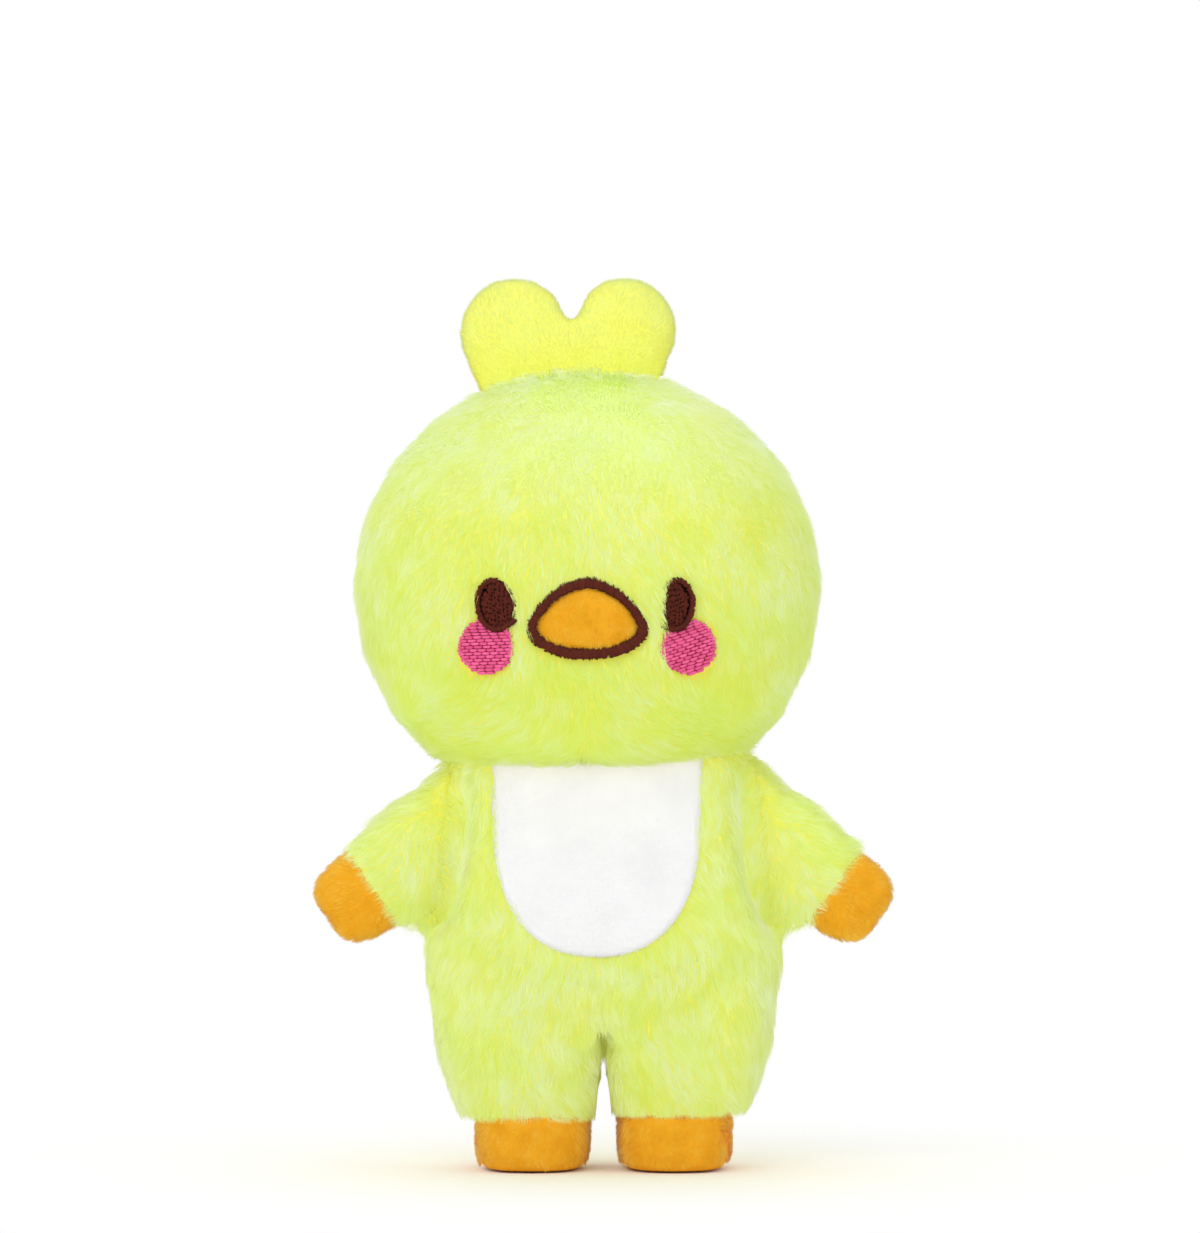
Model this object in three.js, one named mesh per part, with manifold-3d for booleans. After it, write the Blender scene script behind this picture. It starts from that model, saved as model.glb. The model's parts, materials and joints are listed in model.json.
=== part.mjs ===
// Plush chick, a stuffed toy sewn from long-pile fur and short-pile plush, with an embroidered face.
// Millimetres, +Z up. The chick faces -Y, stands on its soles at z = 0, and its own left is +X.
// Outer faces lie where the brushed pile ends, so a fur panel is as thick as its knit and its pile.

import * as THREE from "three";
import { mergeVertices } from "three/addons/utils/BufferGeometryUtils.js";
import Module from "manifold-3d";

const wasm = await Module();
wasm.setup();

// Fabrics and fits
const CLEARANCE = 0.3;            // between pieces that lie against each other
const HINGE_CLEARANCE = 0.9;      // between a limb's root and the hollow that it turns in
const HOLLOW_FLARE = 10;          // degrees that a hollow opens past the swing of its limb
const FUR = 6;                    // long-pile fabric, knit and pile together
const PLUSH = 2.5;                // short-pile fabric of the comb, hands and feet
const EMBROIDERY = 2.2;           // thickness of a stitched fill with its backing
const EMBROIDERY_DEPTH = 3.5;     // how far the pile is pressed down under a stitched fill

// Feet
const FOOT_HEIGHT = 17;           // from the floor up to the hem of the leg
const FOOT_HALF_WIDTH = 16.7;
const FOOT_HALF_DEPTH = 23;
const FOOT_OUT = 19.9;            // from the midline to the middle of a foot
const FOOT_FORWARD = 1;           // how far a foot sits in front of the hip
const SOLE = 2.5;                 // thickness of a sole
const SOLE_ROUND = 2.6;           // how far the edge of a foot draws in at the floor

// Legs
const LEG_LENGTH = 31;            // from the hem up to the hip
const LEG_GAP = 1;                // between the two legs at the hip
const HIP_HALF_WIDTH = 23.6;      // of one leg
const HIP_HALF_DEPTH = 25.5;
const HEM_HALF_WIDTH = 18.6;
const HEM_HALF_DEPTH = 23;
const HEM_OUT = 21.5;             // from the midline to the middle of a hem
const HIP_FORWARD = 45;           // degrees that a leg swings forwards
const HIP_BACK = 15;

// Torso
const TORSO_RISE = 64.5;          // from the hip up to the neck
const TORSO_SKIRT = 6;            // from the hip up to the lower edge of the torso
const SKIRT_HALF_WIDTH = 49.4;
const SKIRT_HALF_DEPTH = 31;
const BELLY_HALF_WIDTH = 50;
const BELLY_HALF_DEPTH = 32;
const CHEST_HALF_WIDTH = 46.5;
const CHEST_HALF_DEPTH = 29.5;
const NECK_HALF_WIDTH = 43.5;
const NECK_HALF_DEPTH = 25.5;
const NECK_ROUND = 4;             // how far the torso draws in over its top
const BELLY_AT = 0.16;            // share of the torso's height where the belly is fullest
const WAIST_AT = 0.38;
const WAIST_BULGE = 0.6;          // how far the waist stands out from a straight line to the chest
const CHEST_AT = 0.62;

// White panel on the belly
const PATCH_HALF_WIDTH = 28.2;
const PATCH_HEIGHT = 47.6;
const PATCH_BOTTOM = 16.2;        // from the hip up to the lowest point of the panel
const PATCH_ROUND = 36;           // height of the round lower end
const PATCH_SHIFT = -2;

// Neck
const NECK_GAP = 1.8;             // between the torso and the seat of the head
const NECK_PIVOT = 3.3;           // from the seat of the head up to the nodding axis
const WAD_HALF_WIDTH = 28;
const WAD_HALF_DEPTH = 13;
const WAD_TAPER = 1;              // how far the wad draws in towards the torso
const NOD = 12;                   // degrees each way

// Head
const HEAD_SHIFT = -4.5;          // the head is sewn on a little to the chick's right
const HEAD_SEAT = 49;             // from the widest level down to the flat seat on the neck
const HEAD_HALF_WIDTH = 65.5;
const HEAD_HALF_DEPTH = 50;
const HEAD_RISE = 61;             // from the widest level up to the crown
const HEAD_DROP = 64.5;           // of the round that the seat cuts off
const SEAT_HALF_DEPTH = 55;       // of the flat round that the seat is cut to
const HEAD_SEAM_BACK = 3;         // how far the side seam lies behind the middle

// Comb
const COMB_SHIFT = -4.5;          // from the middle of the head
const COMB_SINK = 3;              // from the crown down to the comb's seam
const COMB_TILT = 5.3;            // degrees, the chick's left end higher
const COMB_HALF_WIDTH = 26.5;
const COMB_HALF_THICKNESS = 6.5;
const LOBE_HALF_THICKNESS = 8.5;
const COMB_SPREAD = 2;            // how far the comb widens above its seam
const COMB_PUFF = 1.5;            // how far it thickens there
const COMB_CLEFT = 6.5;           // from the middle of the lower lobe up to the cleft
const RIGHT_LOBE_ALONG = -14.6;   // from the middle of the seam to the middle of the lobe
const RIGHT_LOBE_OUT = 14;        // from the seam up to the middle of the lobe
const RIGHT_LOBE_RADIUS = 15.6;
const LEFT_LOBE_ALONG = 15.9;
const LEFT_LOBE_OUT = 12.1;
const LEFT_LOBE_RADIUS = 14.8;
const COMB_FOLD = 40;             // degrees each way

// Face
const EYE_OUT = 24.8;             // from the middle of the head
const EYE_DOWN = 5.5;             // below the widest level
const EYE_HALF_WIDTH = 5.6;
const EYE_HALF_HEIGHT = 7.5;
const CHEEK_OUT = 28.1;
const CHEEK_DOWN = 17.2;
const CHEEK_RADIUS = 7.6;
const BEAK_DOWN = 9.4;
const BEAK_HALF_WIDTH = 16.8;
const BEAK_HALF_HEIGHT = 11.8;
const BEAK_BORDER = 2.9;          // width of the satin-stitched border

// Arms
const SHOULDER_OUT = 44.5;        // from the midline to the middle of the arm seam
const SHOULDER_DROP = 21.7;       // from the neck down to the middle of the arm seam
const SEAM_LEAN = 5.9;            // degrees, the top of the arm seam leans inwards
const SEAM_HALF_LENGTH = 21.3;
const SEAM_HALF_THICKNESS = 11;
const ARM_REACH = 17.6;           // from the arm seam out to the middle of the cuff
const ARM_DROOP = 12.9;           // from the middle of the seam down to the middle of the cuff
const SLEEVE_SPREAD = 0.6;        // how far the sleeve widens between seam and cuff
const SLEEVE_PUFF = 1;            // how far it thickens there
const CUFF_TILT = 41.5;           // degrees between the cuff and the arm seam
const CUFF_HALF_WIDTH = 13.2;
const CUFF_HALF_THICKNESS = 10.5;
const HAND_LENGTH = 15;
const HAND_HALF_WIDTH = 13;
const HAND_HALF_THICKNESS = 9.5;
const HAND_PROFILE = [            // share of the hand's length, and of its girth there
  [0.45, 1],
  [0.75, 0.89],
  [0.93, 0.7],
  [1, 0.4],
];
const ARM_FORWARD = 60;           // degrees that an arm swings forwards
const ARM_BACK = 30;
const ARM_ROOM = 2;               // how much longer the hollow is under an arm, which droops

// Heights above the floor, each built on the one below
const HIP_Z = FOOT_HEIGHT + LEG_LENGTH;
const NECK_Z = HIP_Z + TORSO_RISE;
const SHOULDER_Z = NECK_Z - SHOULDER_DROP;
const SEAT_Z = NECK_Z + NECK_GAP;
const HEAD_Z = SEAT_Z + HEAD_SEAT;
const COMB_Z = HEAD_Z + HEAD_RISE - COMB_SINK;

// Facets and roundness
const AROUND_BODY = 24;           // facets round the head and torso
const AROUND_LIMB = 16;           // facets round an arm, leg or comb
const BODY_POWER = 2.3;           // 2 is an ellipse, more is squarer
const LIMB_POWER = 2.6;
const LEG_POWER = 3;
const HEAD_LEVELS = 11;
const CROWN_LIFT = 84;            // degrees up to the highest ring of the head
const ROOT_TURNS = [90, 60, 30, 0];   // degrees round the back of a limb's root
const LIMB_LEVELS = 3;            // rings from a limb's root to its cuff or hem
const HOLLOW_STEPS = 10;
const HOLLOW_ARC_STEPS = 6;
const CURVE_SEGMENTS = 7;
const REACH = 500;                // past every piece from the floor up

const X = new THREE.Vector3(1, 0, 0);
const Y = new THREE.Vector3(0, 1, 0);
const Z = new THREE.Vector3(0, 0, 1);
const radians = THREE.MathUtils.degToRad;

const fabric = (color) => new THREE.MeshStandardMaterial({ color, roughness: 0.95, metalness: 0 });
const FUR_YELLOW = fabric("#e2f58c");
const COMB_YELLOW = fabric("#f0f872");
const ORANGE = fabric("#f0ad2d");
const WHITE = fabric("#fafafa");
const BROWN = fabric("#4f1d10");
const PINK = fabric("#dc5c87");
const FIBRE = fabric("#f4f4f0");

// Closed solids

function solidOf(geometry) {
  const bare = geometry.clone();
  bare.deleteAttribute("normal");
  bare.deleteAttribute("uv");
  const merged = mergeVertices(bare, 1e-4);
  const points = merged.getAttribute("position").array;
  const corners = merged.index.array;
  const faces = [];
  for (let i = 0; i < corners.length; i += 3) {
    const [a, b, c] = corners.slice(i, i + 3);
    if (a !== b && b !== c && c !== a) faces.push(a, b, c);
  }
  const mesh = { numProp: 3, vertProperties: new Float32Array(points), triVerts: new Uint32Array(faces) };
  return new wasm.Manifold(new wasm.Mesh(mesh));
}

function signedVolume(points, faces) {
  let sum = 0;
  for (let i = 0; i < faces.length; i += 3) {
    const [a, b, c] = faces.slice(i, i + 3).map((corner) => points[corner]);
    sum += a.dot(b.clone().cross(c));
  }
  return sum / 6;
}

function solidFrom(points, faces) {
  const outward = signedVolume(points, faces) > 0 ? faces : [...faces].reverse();
  const geometry = new THREE.BufferGeometry().setFromPoints(points);
  geometry.setIndex(outward);
  return solidOf(geometry);
}

// Joins rings with equally many points. An open end is closed by a fan about its middle,
// and a zipped end is a ring whose two halves already lie on each other.
function loft(rings, zipped = false) {
  const count = rings[0].length;
  const points = rings.flat();
  const faces = [];
  for (let ring = 0; ring + 1 < rings.length; ring++) {
    for (let i = 0; i < count; i++) {
      const a = ring * count + i;
      const b = ring * count + ((i + 1) % count);
      faces.push(a, b, b + count, a, b + count, a + count);
    }
  }
  const fan = (start, order) => {
    const middle = new THREE.Vector3();
    for (let i = 0; i < count; i++) middle.addScaledVector(points[start + i], 1 / count);
    points.push(middle);
    for (let i = 0; i < count; i++) {
      const pair = [start + i, start + ((i + 1) % count)];
      faces.push(points.length - 1, pair[order], pair[1 - order]);
    }
  };
  if (!zipped) fan(0, 1);
  fan((rings.length - 1) * count, 0);
  return solidFrom(points, faces);
}

// Coordinates of point i of a superellipse: 1 across and 1 up at its four ends.
function superellipse(i, count, power) {
  const angle = (2 * Math.PI * i) / count;
  const bend = (value) => Math.sign(value) * Math.abs(value) ** (2 / power);
  const snap = (value) => (Math.abs(value) < 1e-9 ? 0 : value);
  return [bend(snap(Math.cos(angle))), bend(snap(Math.sin(angle)))];
}

function ring(middle, across, up, halfAcross, halfUp, power, count) {
  return Array.from({ length: count }, (_, i) => {
    const [c, s] = superellipse(i, count, power);
    return middle.clone().addScaledVector(across, c * halfAcross).addScaledVector(up, s * halfUp);
  });
}

// Everything on one side of a plane that is square to an axis.
function halfSpace(axis, from, sign) {
  const middle = axis.clone().multiplyScalar(from + sign * REACH);
  return solidOf(new THREE.BoxGeometry(2 * REACH, 2 * REACH, 2 * REACH).translate(...middle));
}

const inFrontOf = (y) => halfSpace(Y, y - CLEARANCE / 2, -1);
const behind = (y) => halfSpace(Y, y + CLEARANCE / 2, 1);
const leftHalf = halfSpace(X, CLEARANCE / 2, 1);
const rightHalf = halfSpace(X, -CLEARANCE / 2, -1);

// A flat outline, drawn as seen from the front, run from the middle of the toy out through its front.
function throughFront(outline) {
  const depth = { depth: REACH, bevelEnabled: false, curveSegments: CURVE_SEGMENTS };
  return solidOf(new THREE.ExtrudeGeometry(outline, depth).rotateX(Math.PI / 2));
}

// Forms. Inset moves a form's whole surface inwards, for linings and for stuffing.

function headForm(inset) {
  const rings = [];
  for (let level = 0; level < HEAD_LEVELS; level++) {
    const lift = radians(CROWN_LIFT) * ((2 * level) / (HEAD_LEVELS - 1) - 1);
    const rise = (Math.sin(lift) > 0 ? HEAD_RISE : HEAD_DROP) - inset;
    const middle = new THREE.Vector3(HEAD_SHIFT, 0, HEAD_Z + rise * Math.sin(lift));
    const halfWidth = (HEAD_HALF_WIDTH - inset) * Math.cos(lift);
    const halfDepth = (HEAD_HALF_DEPTH - inset) * Math.cos(lift);
    rings.push(ring(middle, X, Y, halfWidth, halfDepth, BODY_POWER, AROUND_BODY));
  }
  const seatEnds = [-REACH / 2, REACH / 2].map((x) => {
    const middle = new THREE.Vector3(x, 0, HEAD_Z);
    return ring(middle, Y, Z, SEAT_HALF_DEPTH - inset, HEAD_SEAT - inset, 2, AROUND_BODY);
  });
  const seat = loft(seatEnds).add(halfSpace(Z, HEAD_Z, 1));
  return loft(rings).intersect(seat);
}

// An open form runs past its own top and bottom, so that what it cuts is a tube.
function torsoForm(inset, open = false) {
  const bottom = HIP_Z + TORSO_SKIRT;
  const height = NECK_Z - bottom;
  const midway = (from, to) => (from + to) / 2 + WAIST_BULGE;
  const stations = [
    [0, SKIRT_HALF_WIDTH, SKIRT_HALF_DEPTH],
    [BELLY_AT, BELLY_HALF_WIDTH, BELLY_HALF_DEPTH],
    [WAIST_AT, midway(BELLY_HALF_WIDTH, CHEST_HALF_WIDTH), midway(BELLY_HALF_DEPTH, CHEST_HALF_DEPTH)],
    [CHEST_AT, CHEST_HALF_WIDTH, CHEST_HALF_DEPTH],
  ];
  for (const turn of [0, 45, 90]) {
    const up = NECK_ROUND * (1 - Math.sin(radians(turn)));
    const drawn = NECK_ROUND * (1 - Math.cos(radians(turn)));
    stations.push([1 - up / height, NECK_HALF_WIDTH - drawn, NECK_HALF_DEPTH - drawn]);
  }
  const past = open ? 1 : 0;
  const rings = stations.map(([share, halfWidth, halfDepth], i) => {
    const end = i === 0 ? -past : i === stations.length - 1 ? past : 0;
    const middle = new THREE.Vector3(0, 0, bottom + share * height + end);
    return ring(middle, X, Y, halfWidth - inset, halfDepth - inset, BODY_POWER, AROUND_BODY);
  });
  return loft(rings);
}

// A soft hinge: a limb whose rounded root lies in a hollow of a larger piece and turns about its seam.
// The seam runs along, the limb leads out, and its thickness lies in Y.
function softHinge(origin, along, out, halfLength, halfThickness, power) {
  return { origin, along, out, halfLength, halfThickness, power };
}

function limbPoint(hinge, along, out, y) {
  return hinge.origin.clone()
    .addScaledVector(hinge.along, along).addScaledVector(hinge.out, out).addScaledVector(Y, y);
}

function rootRing(hinge, inset, turn) {
  return Array.from({ length: AROUND_LIMB }, (_, i) => {
    const [c, s] = superellipse(i, AROUND_LIMB, hinge.power);
    const radius = Math.abs(s) * (hinge.halfThickness - inset);
    const side = Math.sign(s) * radius * (turn < 90 ? Math.cos(radians(turn)) : 0);
    return limbPoint(hinge, c * (hinge.halfLength - inset), -radius * Math.sin(radians(turn)), side);
  });
}

function stationRing(hinge, station, inset) {
  const tilt = radians(station.tilt ?? 0);
  const level = hinge.along.clone().multiplyScalar(Math.cos(tilt));
  const across = level.addScaledVector(hinge.out, Math.sin(tilt));
  const middle = limbPoint(hinge, station.along, station.out, station.y ?? 0);
  const halfWidth = station.halfWidth - inset;
  const halfThickness = station.halfThickness - inset;
  return ring(middle, across, Y, halfWidth, halfThickness, hinge.power, AROUND_LIMB);
}

function limbForm(hinge, stations, inset) {
  const root = ROOT_TURNS.map((turn) => rootRing(hinge, inset, turn));
  return loft([...root, ...stations.map((station) => stationRing(hinge, station, inset))], true);
}

// The room that a limb's root needs in the larger piece, from its swing back to its swing forward.
// More adds to the length of the hollow at the end that the seam starts from.
function hollow(hinge, forward, back, more = 0) {
  const halfLength = hinge.halfLength + HINGE_CLEARANCE + more / 2;
  const rings = [];
  for (let step = 0; step <= HOLLOW_STEPS; step++) {
    const share = Math.cos((Math.PI * step) / HOLLOW_STEPS);
    const round = (1 - Math.abs(share) ** hinge.power) ** (1 / hinge.power);
    const radius = HINGE_CLEARANCE + hinge.halfThickness * round;
    const at = (out, y) => limbPoint(hinge, share * halfLength - more / 2, out, y);
    const outline = [];
    for (let i = 0; i <= HOLLOW_ARC_STEPS; i++) {
      const angle = radians(forward + ((180 - forward - back) * i) / HOLLOW_ARC_STEPS);
      outline.push(at(-radius * Math.sin(angle), -radius * Math.cos(angle)));
    }
    const farOut = (swing, sign) => {
      const angle = radians(swing);
      const wide = radians(swing + HOLLOW_FLARE);
      const start = [-radius * Math.sin(angle), sign * radius * Math.cos(angle)];
      outline.push(at(start[0] + REACH * Math.cos(wide), start[1] + sign * REACH * Math.sin(wide)));
    };
    farOut(back, 1);
    farOut(forward, -1);
    rings.push(outline);
  }
  return loft(rings);
}

// Scene graph

function bodyAt(parent, x, y, z) {
  const body = new THREE.Group();
  const from = parent ? parent.userData.pivot : new THREE.Vector3();
  body.userData.pivot = new THREE.Vector3(x, y, z);
  body.position.copy(body.userData.pivot).sub(from);
  if (parent) parent.add(body);
  return body;
}

// The largest body of a cut piece, without the crumbs that a cut can leave.
function largest(solid) {
  const bodies = solid.decompose();
  return bodies.reduce((best, body) => (body.volume() > best.volume() ? body : best));
}

function piece(body, name, solid, material) {
  const { vertProperties, triVerts } = largest(solid).getMesh();
  const geometry = new THREE.BufferGeometry();
  geometry.setAttribute("position", new THREE.BufferAttribute(new Float32Array(vertProperties), 3));
  geometry.setIndex(Array.from(triVerts));
  const { x, y, z } = body.userData.pivot;
  geometry.translate(-x, -y, -z);
  geometry.computeVertexNormals();
  const mesh = new THREE.Mesh(geometry, material);
  mesh.name = name;
  body.add(mesh);
}

// A stitched piece lies in a pocket pressed into the pile: outline gives its shape, grown by a margin.
function stitched(form, outline, depth, thickness) {
  const plate = form(depth - CLEARANCE - thickness).subtract(form(depth - CLEARANCE));
  return {
    pocket: throughFront(outline(CLEARANCE)).subtract(form(depth)),
    solid: throughFront(outline(0)).intersect(plate),
  };
}

// Hinges of the limbs, shared by each limb and by what it is sewn into

const neckX = HEAD_SHIFT / 2;
const neckHinge = softHinge(
  new THREE.Vector3(neckX, 0, SEAT_Z + NECK_PIVOT), X, Z.clone().negate(),
  WAD_HALF_WIDTH, WAD_HALF_DEPTH, LIMB_POWER,
);

const combTilt = radians(COMB_TILT);
const combHinge = softHinge(
  new THREE.Vector3(HEAD_SHIFT + COMB_SHIFT, 0, COMB_Z),
  new THREE.Vector3(Math.cos(combTilt), 0, Math.sin(combTilt)),
  new THREE.Vector3(-Math.sin(combTilt), 0, Math.cos(combTilt)),
  COMB_HALF_WIDTH, COMB_HALF_THICKNESS, LIMB_POWER,
);

function armHinge(side) {
  const lean = radians(SEAM_LEAN);
  return softHinge(
    new THREE.Vector3(side * SHOULDER_OUT, 0, SHOULDER_Z),
    new THREE.Vector3(-side * Math.sin(lean), 0, Math.cos(lean)),
    new THREE.Vector3(side * Math.cos(lean), 0, Math.sin(lean)),
    SEAM_HALF_LENGTH, SEAM_HALF_THICKNESS, LIMB_POWER,
  );
}

function legHinge(side) {
  return softHinge(
    new THREE.Vector3(side * (LEG_GAP / 2 + HIP_HALF_WIDTH), 0, HIP_Z),
    X.clone().multiplyScalar(side), Z.clone().negate(), HIP_HALF_WIDTH, HIP_HALF_DEPTH, LEG_POWER,
  );
}

// Torso

function addTorso(body) {
  let room = hollow(legHinge(1), HIP_FORWARD, HIP_BACK, 2 * LEG_GAP);
  room = room.add(hollow(legHinge(-1), HIP_FORWARD, HIP_BACK, 2 * LEG_GAP));
  for (const side of [1, -1]) {
    room = room.add(hollow(armHinge(side), ARM_FORWARD, ARM_BACK, ARM_ROOM));
  }

  const skin = torsoForm(0).subtract(torsoForm(FUR, true)).subtract(room);
  const patch = stitched(torsoForm, patchOutline, EMBROIDERY_DEPTH, EMBROIDERY);
  const back = skin.intersect(behind(0));
  piece(body, "body_front_panel", skin.intersect(inFrontOf(0)).subtract(patch.pocket), FUR_YELLOW);
  piece(body, "body_back_left_panel", back.intersect(leftHalf), FUR_YELLOW);
  piece(body, "body_back_right_panel", back.intersect(rightHalf), FUR_YELLOW);
  piece(body, "belly_patch", patch.solid, WHITE);
  piece(body, "body_stuffing", torsoForm(FUR + CLEARANCE).subtract(room), FIBRE);
}

// A bib with straight sides and a round lower end.
function patchOutline(margin) {
  const half = PATCH_HALF_WIDTH + margin;
  const bottom = HIP_Z + PATCH_BOTTOM - margin;
  const top = HIP_Z + PATCH_BOTTOM + PATCH_HEIGHT + margin;
  const roundTop = bottom + PATCH_ROUND;
  const outline = new THREE.Shape();
  outline.moveTo(PATCH_SHIFT + half, top);
  outline.lineTo(PATCH_SHIFT - half, top);
  outline.lineTo(PATCH_SHIFT - half, roundTop);
  outline.absellipse(PATCH_SHIFT, roundTop, half, roundTop - bottom, Math.PI, 2 * Math.PI);
  outline.closePath();
  return outline;
}

// Neck, head and comb

function addNeck(body) {
  const foot = NECK_GAP + NECK_PIVOT - CLEARANCE;
  const halfWidth = WAD_HALF_WIDTH - WAD_TAPER;
  const halfThickness = WAD_HALF_DEPTH - WAD_TAPER;
  const form = limbForm(neckHinge, [{ along: 0, out: foot, halfWidth, halfThickness }], 0);
  piece(body, "neck_wad", form, FIBRE);
}

function addHead(body) {
  const room = hollow(neckHinge, NOD, NOD).add(hollow(combHinge, COMB_FOLD, COMB_FOLD));
  const skin = headForm(0).subtract(headForm(FUR)).subtract(room);
  let face = skin.intersect(inFrontOf(HEAD_SEAM_BACK));
  const back = skin.intersect(behind(HEAD_SEAM_BACK));
  const headSide = (side) => {
    const cut = HEAD_SHIFT + (side * CLEARANCE) / 2;
    return back.intersect(halfSpace(X, cut, side));
  };

  const stitch = (outline) => stitched(headForm, outline, EMBROIDERY_DEPTH, EMBROIDERY);
  const beak = stitch((margin) => beakOutline(BEAK_BORDER - margin));
  const whole = stitch((margin) => beakOutline(-margin));
  const eyes = [1, -1].map((side) => stitch((margin) => eyeOutline(side, margin)));
  const cheeks = [1, -1].map((side) => stitch((margin) => cheekOutline(side, margin)));
  for (const { pocket } of [whole, ...eyes, ...cheeks]) face = face.subtract(pocket);

  piece(body, "face_panel", face, FUR_YELLOW);
  piece(body, "head_back_left_panel", headSide(1), FUR_YELLOW);
  piece(body, "head_back_right_panel", headSide(-1), FUR_YELLOW);
  piece(body, "head_stuffing", headForm(FUR + CLEARANCE).subtract(room), FIBRE);
  piece(body, "beak_patch", beak.solid, ORANGE);
  piece(body, "beak_border", whole.solid.subtract(beak.pocket), BROWN);
  for (const [i, name] of ["left", "right"].entries()) {
    piece(body, `${name}_eye`, eyes[i].solid, BROWN);
    piece(body, `${name}_cheek`, cheeks[i].solid.subtract(eyes[i].pocket), PINK);
  }
}

function eyeOutline(side, margin) {
  const outline = new THREE.Shape();
  const x = HEAD_SHIFT + side * EYE_OUT;
  const halfWidth = EYE_HALF_WIDTH + margin;
  const halfHeight = EYE_HALF_HEIGHT + margin;
  outline.absellipse(x, HEAD_Z - EYE_DOWN, halfWidth, halfHeight, 0, 2 * Math.PI);
  return outline;
}

function cheekOutline(side, margin) {
  const outline = new THREE.Shape();
  const x = HEAD_SHIFT + side * CHEEK_OUT;
  outline.absarc(x, HEAD_Z - CHEEK_DOWN, CHEEK_RADIUS + margin, 0, 2 * Math.PI);
  return outline;
}

// A triangle with bowed sides and round corners, drawn inset from the beak's outer edge.
function beakOutline(inset) {
  const w = BEAK_HALF_WIDTH - inset;
  const h = BEAK_HALF_HEIGHT - inset;
  const at = (x, z) => [HEAD_SHIFT + x * w, HEAD_Z - BEAK_DOWN + z * h];
  const outline = new THREE.Shape();
  outline.moveTo(...at(0, 1));
  outline.bezierCurveTo(...at(0.3, 1), ...at(0.86, 0.42), ...at(1, -0.25));
  outline.bezierCurveTo(...at(1, -0.62), ...at(0.62, -1), ...at(0, -1));
  outline.bezierCurveTo(...at(-0.62, -1), ...at(-1, -0.62), ...at(-1, -0.25));
  outline.bezierCurveTo(...at(-0.86, 0.42), ...at(-0.3, 1), ...at(0, 1));
  return outline;
}

// Two puffy lobes on a flat base.
function combForm(inset) {
  const lobes = [
    [RIGHT_LOBE_ALONG, RIGHT_LOBE_OUT, RIGHT_LOBE_RADIUS],
    [LEFT_LOBE_ALONG, LEFT_LOBE_OUT, LEFT_LOBE_RADIUS],
  ];
  const lowest = Math.min(RIGHT_LOBE_OUT, LEFT_LOBE_OUT);
  const thick = COMB_HALF_THICKNESS + COMB_PUFF;
  const thin = COMB_HALF_THICKNESS - COMB_PUFF;
  const wide = COMB_HALF_WIDTH + COMB_SPREAD;
  const cleft = lowest + COMB_CLEFT - inset;
  let form = limbForm(combHinge, [
    { along: 0, out: lowest / 2, halfWidth: wide, halfThickness: thick },
    { along: 0, out: lowest, halfWidth: COMB_HALF_WIDTH, halfThickness: thick },
    { along: 0, out: cleft, halfWidth: COMB_HALF_WIDTH / 2, halfThickness: thin },
  ], inset);
  for (const [along, out, radius] of lobes) {
    const round = radius - inset;
    const ball = new THREE.SphereGeometry(1, AROUND_LIMB, AROUND_LIMB / 2);
    ball.scale(round, LOBE_HALF_THICKNESS - inset, round);
    ball.translate(...limbPoint(combHinge, along, out, 0));
    form = form.add(solidOf(ball));
  }
  return form;
}

function addComb(body) {
  const skin = combForm(0).subtract(combForm(PLUSH));
  piece(body, "comb_front_panel", skin.intersect(inFrontOf(0)), COMB_YELLOW);
  piece(body, "comb_back_panel", skin.intersect(behind(0)), COMB_YELLOW);
  piece(body, "comb_stuffing", combForm(PLUSH + CLEARANCE), FIBRE);
}

// Arms

// A place on the arm: share 0 is the arm seam and 1 the cuff.
function sleeveStation(share, halfWidth, halfThickness) {
  const along = -ARM_DROOP * share;
  return { along, out: ARM_REACH * share, tilt: CUFF_TILT * share, halfWidth, halfThickness };
}

// A place on the hand, measured from the cuff square to it.
function handStation(from, halfWidth, halfThickness) {
  const tilt = radians(CUFF_TILT);
  const along = -ARM_DROOP - from * Math.sin(tilt);
  const out = ARM_REACH + from * Math.cos(tilt);
  return { along, out, tilt: CUFF_TILT, halfWidth, halfThickness };
}

function sleeveForm(hinge, inset, past = 0) {
  const stations = [];
  for (let level = 1; level < LIMB_LEVELS; level++) {
    const share = level / LIMB_LEVELS;
    const straight = SEAM_HALF_LENGTH + (CUFF_HALF_WIDTH - SEAM_HALF_LENGTH) * share;
    stations.push(sleeveStation(share, straight + SLEEVE_SPREAD, SEAM_HALF_THICKNESS + SLEEVE_PUFF));
  }
  stations.push(sleeveStation(1, CUFF_HALF_WIDTH, CUFF_HALF_THICKNESS));
  if (past > 0) stations.push(handStation(past, CUFF_HALF_WIDTH, CUFF_HALF_THICKNESS));
  return limbForm(hinge, stations, inset);
}

function handForm(hinge, inset, start) {
  const end = HAND_LENGTH - inset;
  const stations = [handStation(start, HAND_HALF_WIDTH, HAND_HALF_THICKNESS)];
  for (const [share, girth] of HAND_PROFILE) {
    const kept = inset * (1 - girth);
    const halfWidth = girth * HAND_HALF_WIDTH + kept;
    stations.push(handStation(share * end, halfWidth, girth * HAND_HALF_THICKNESS + kept));
  }
  return loft(stations.map((station) => stationRing(hinge, station, inset)));
}

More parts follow.
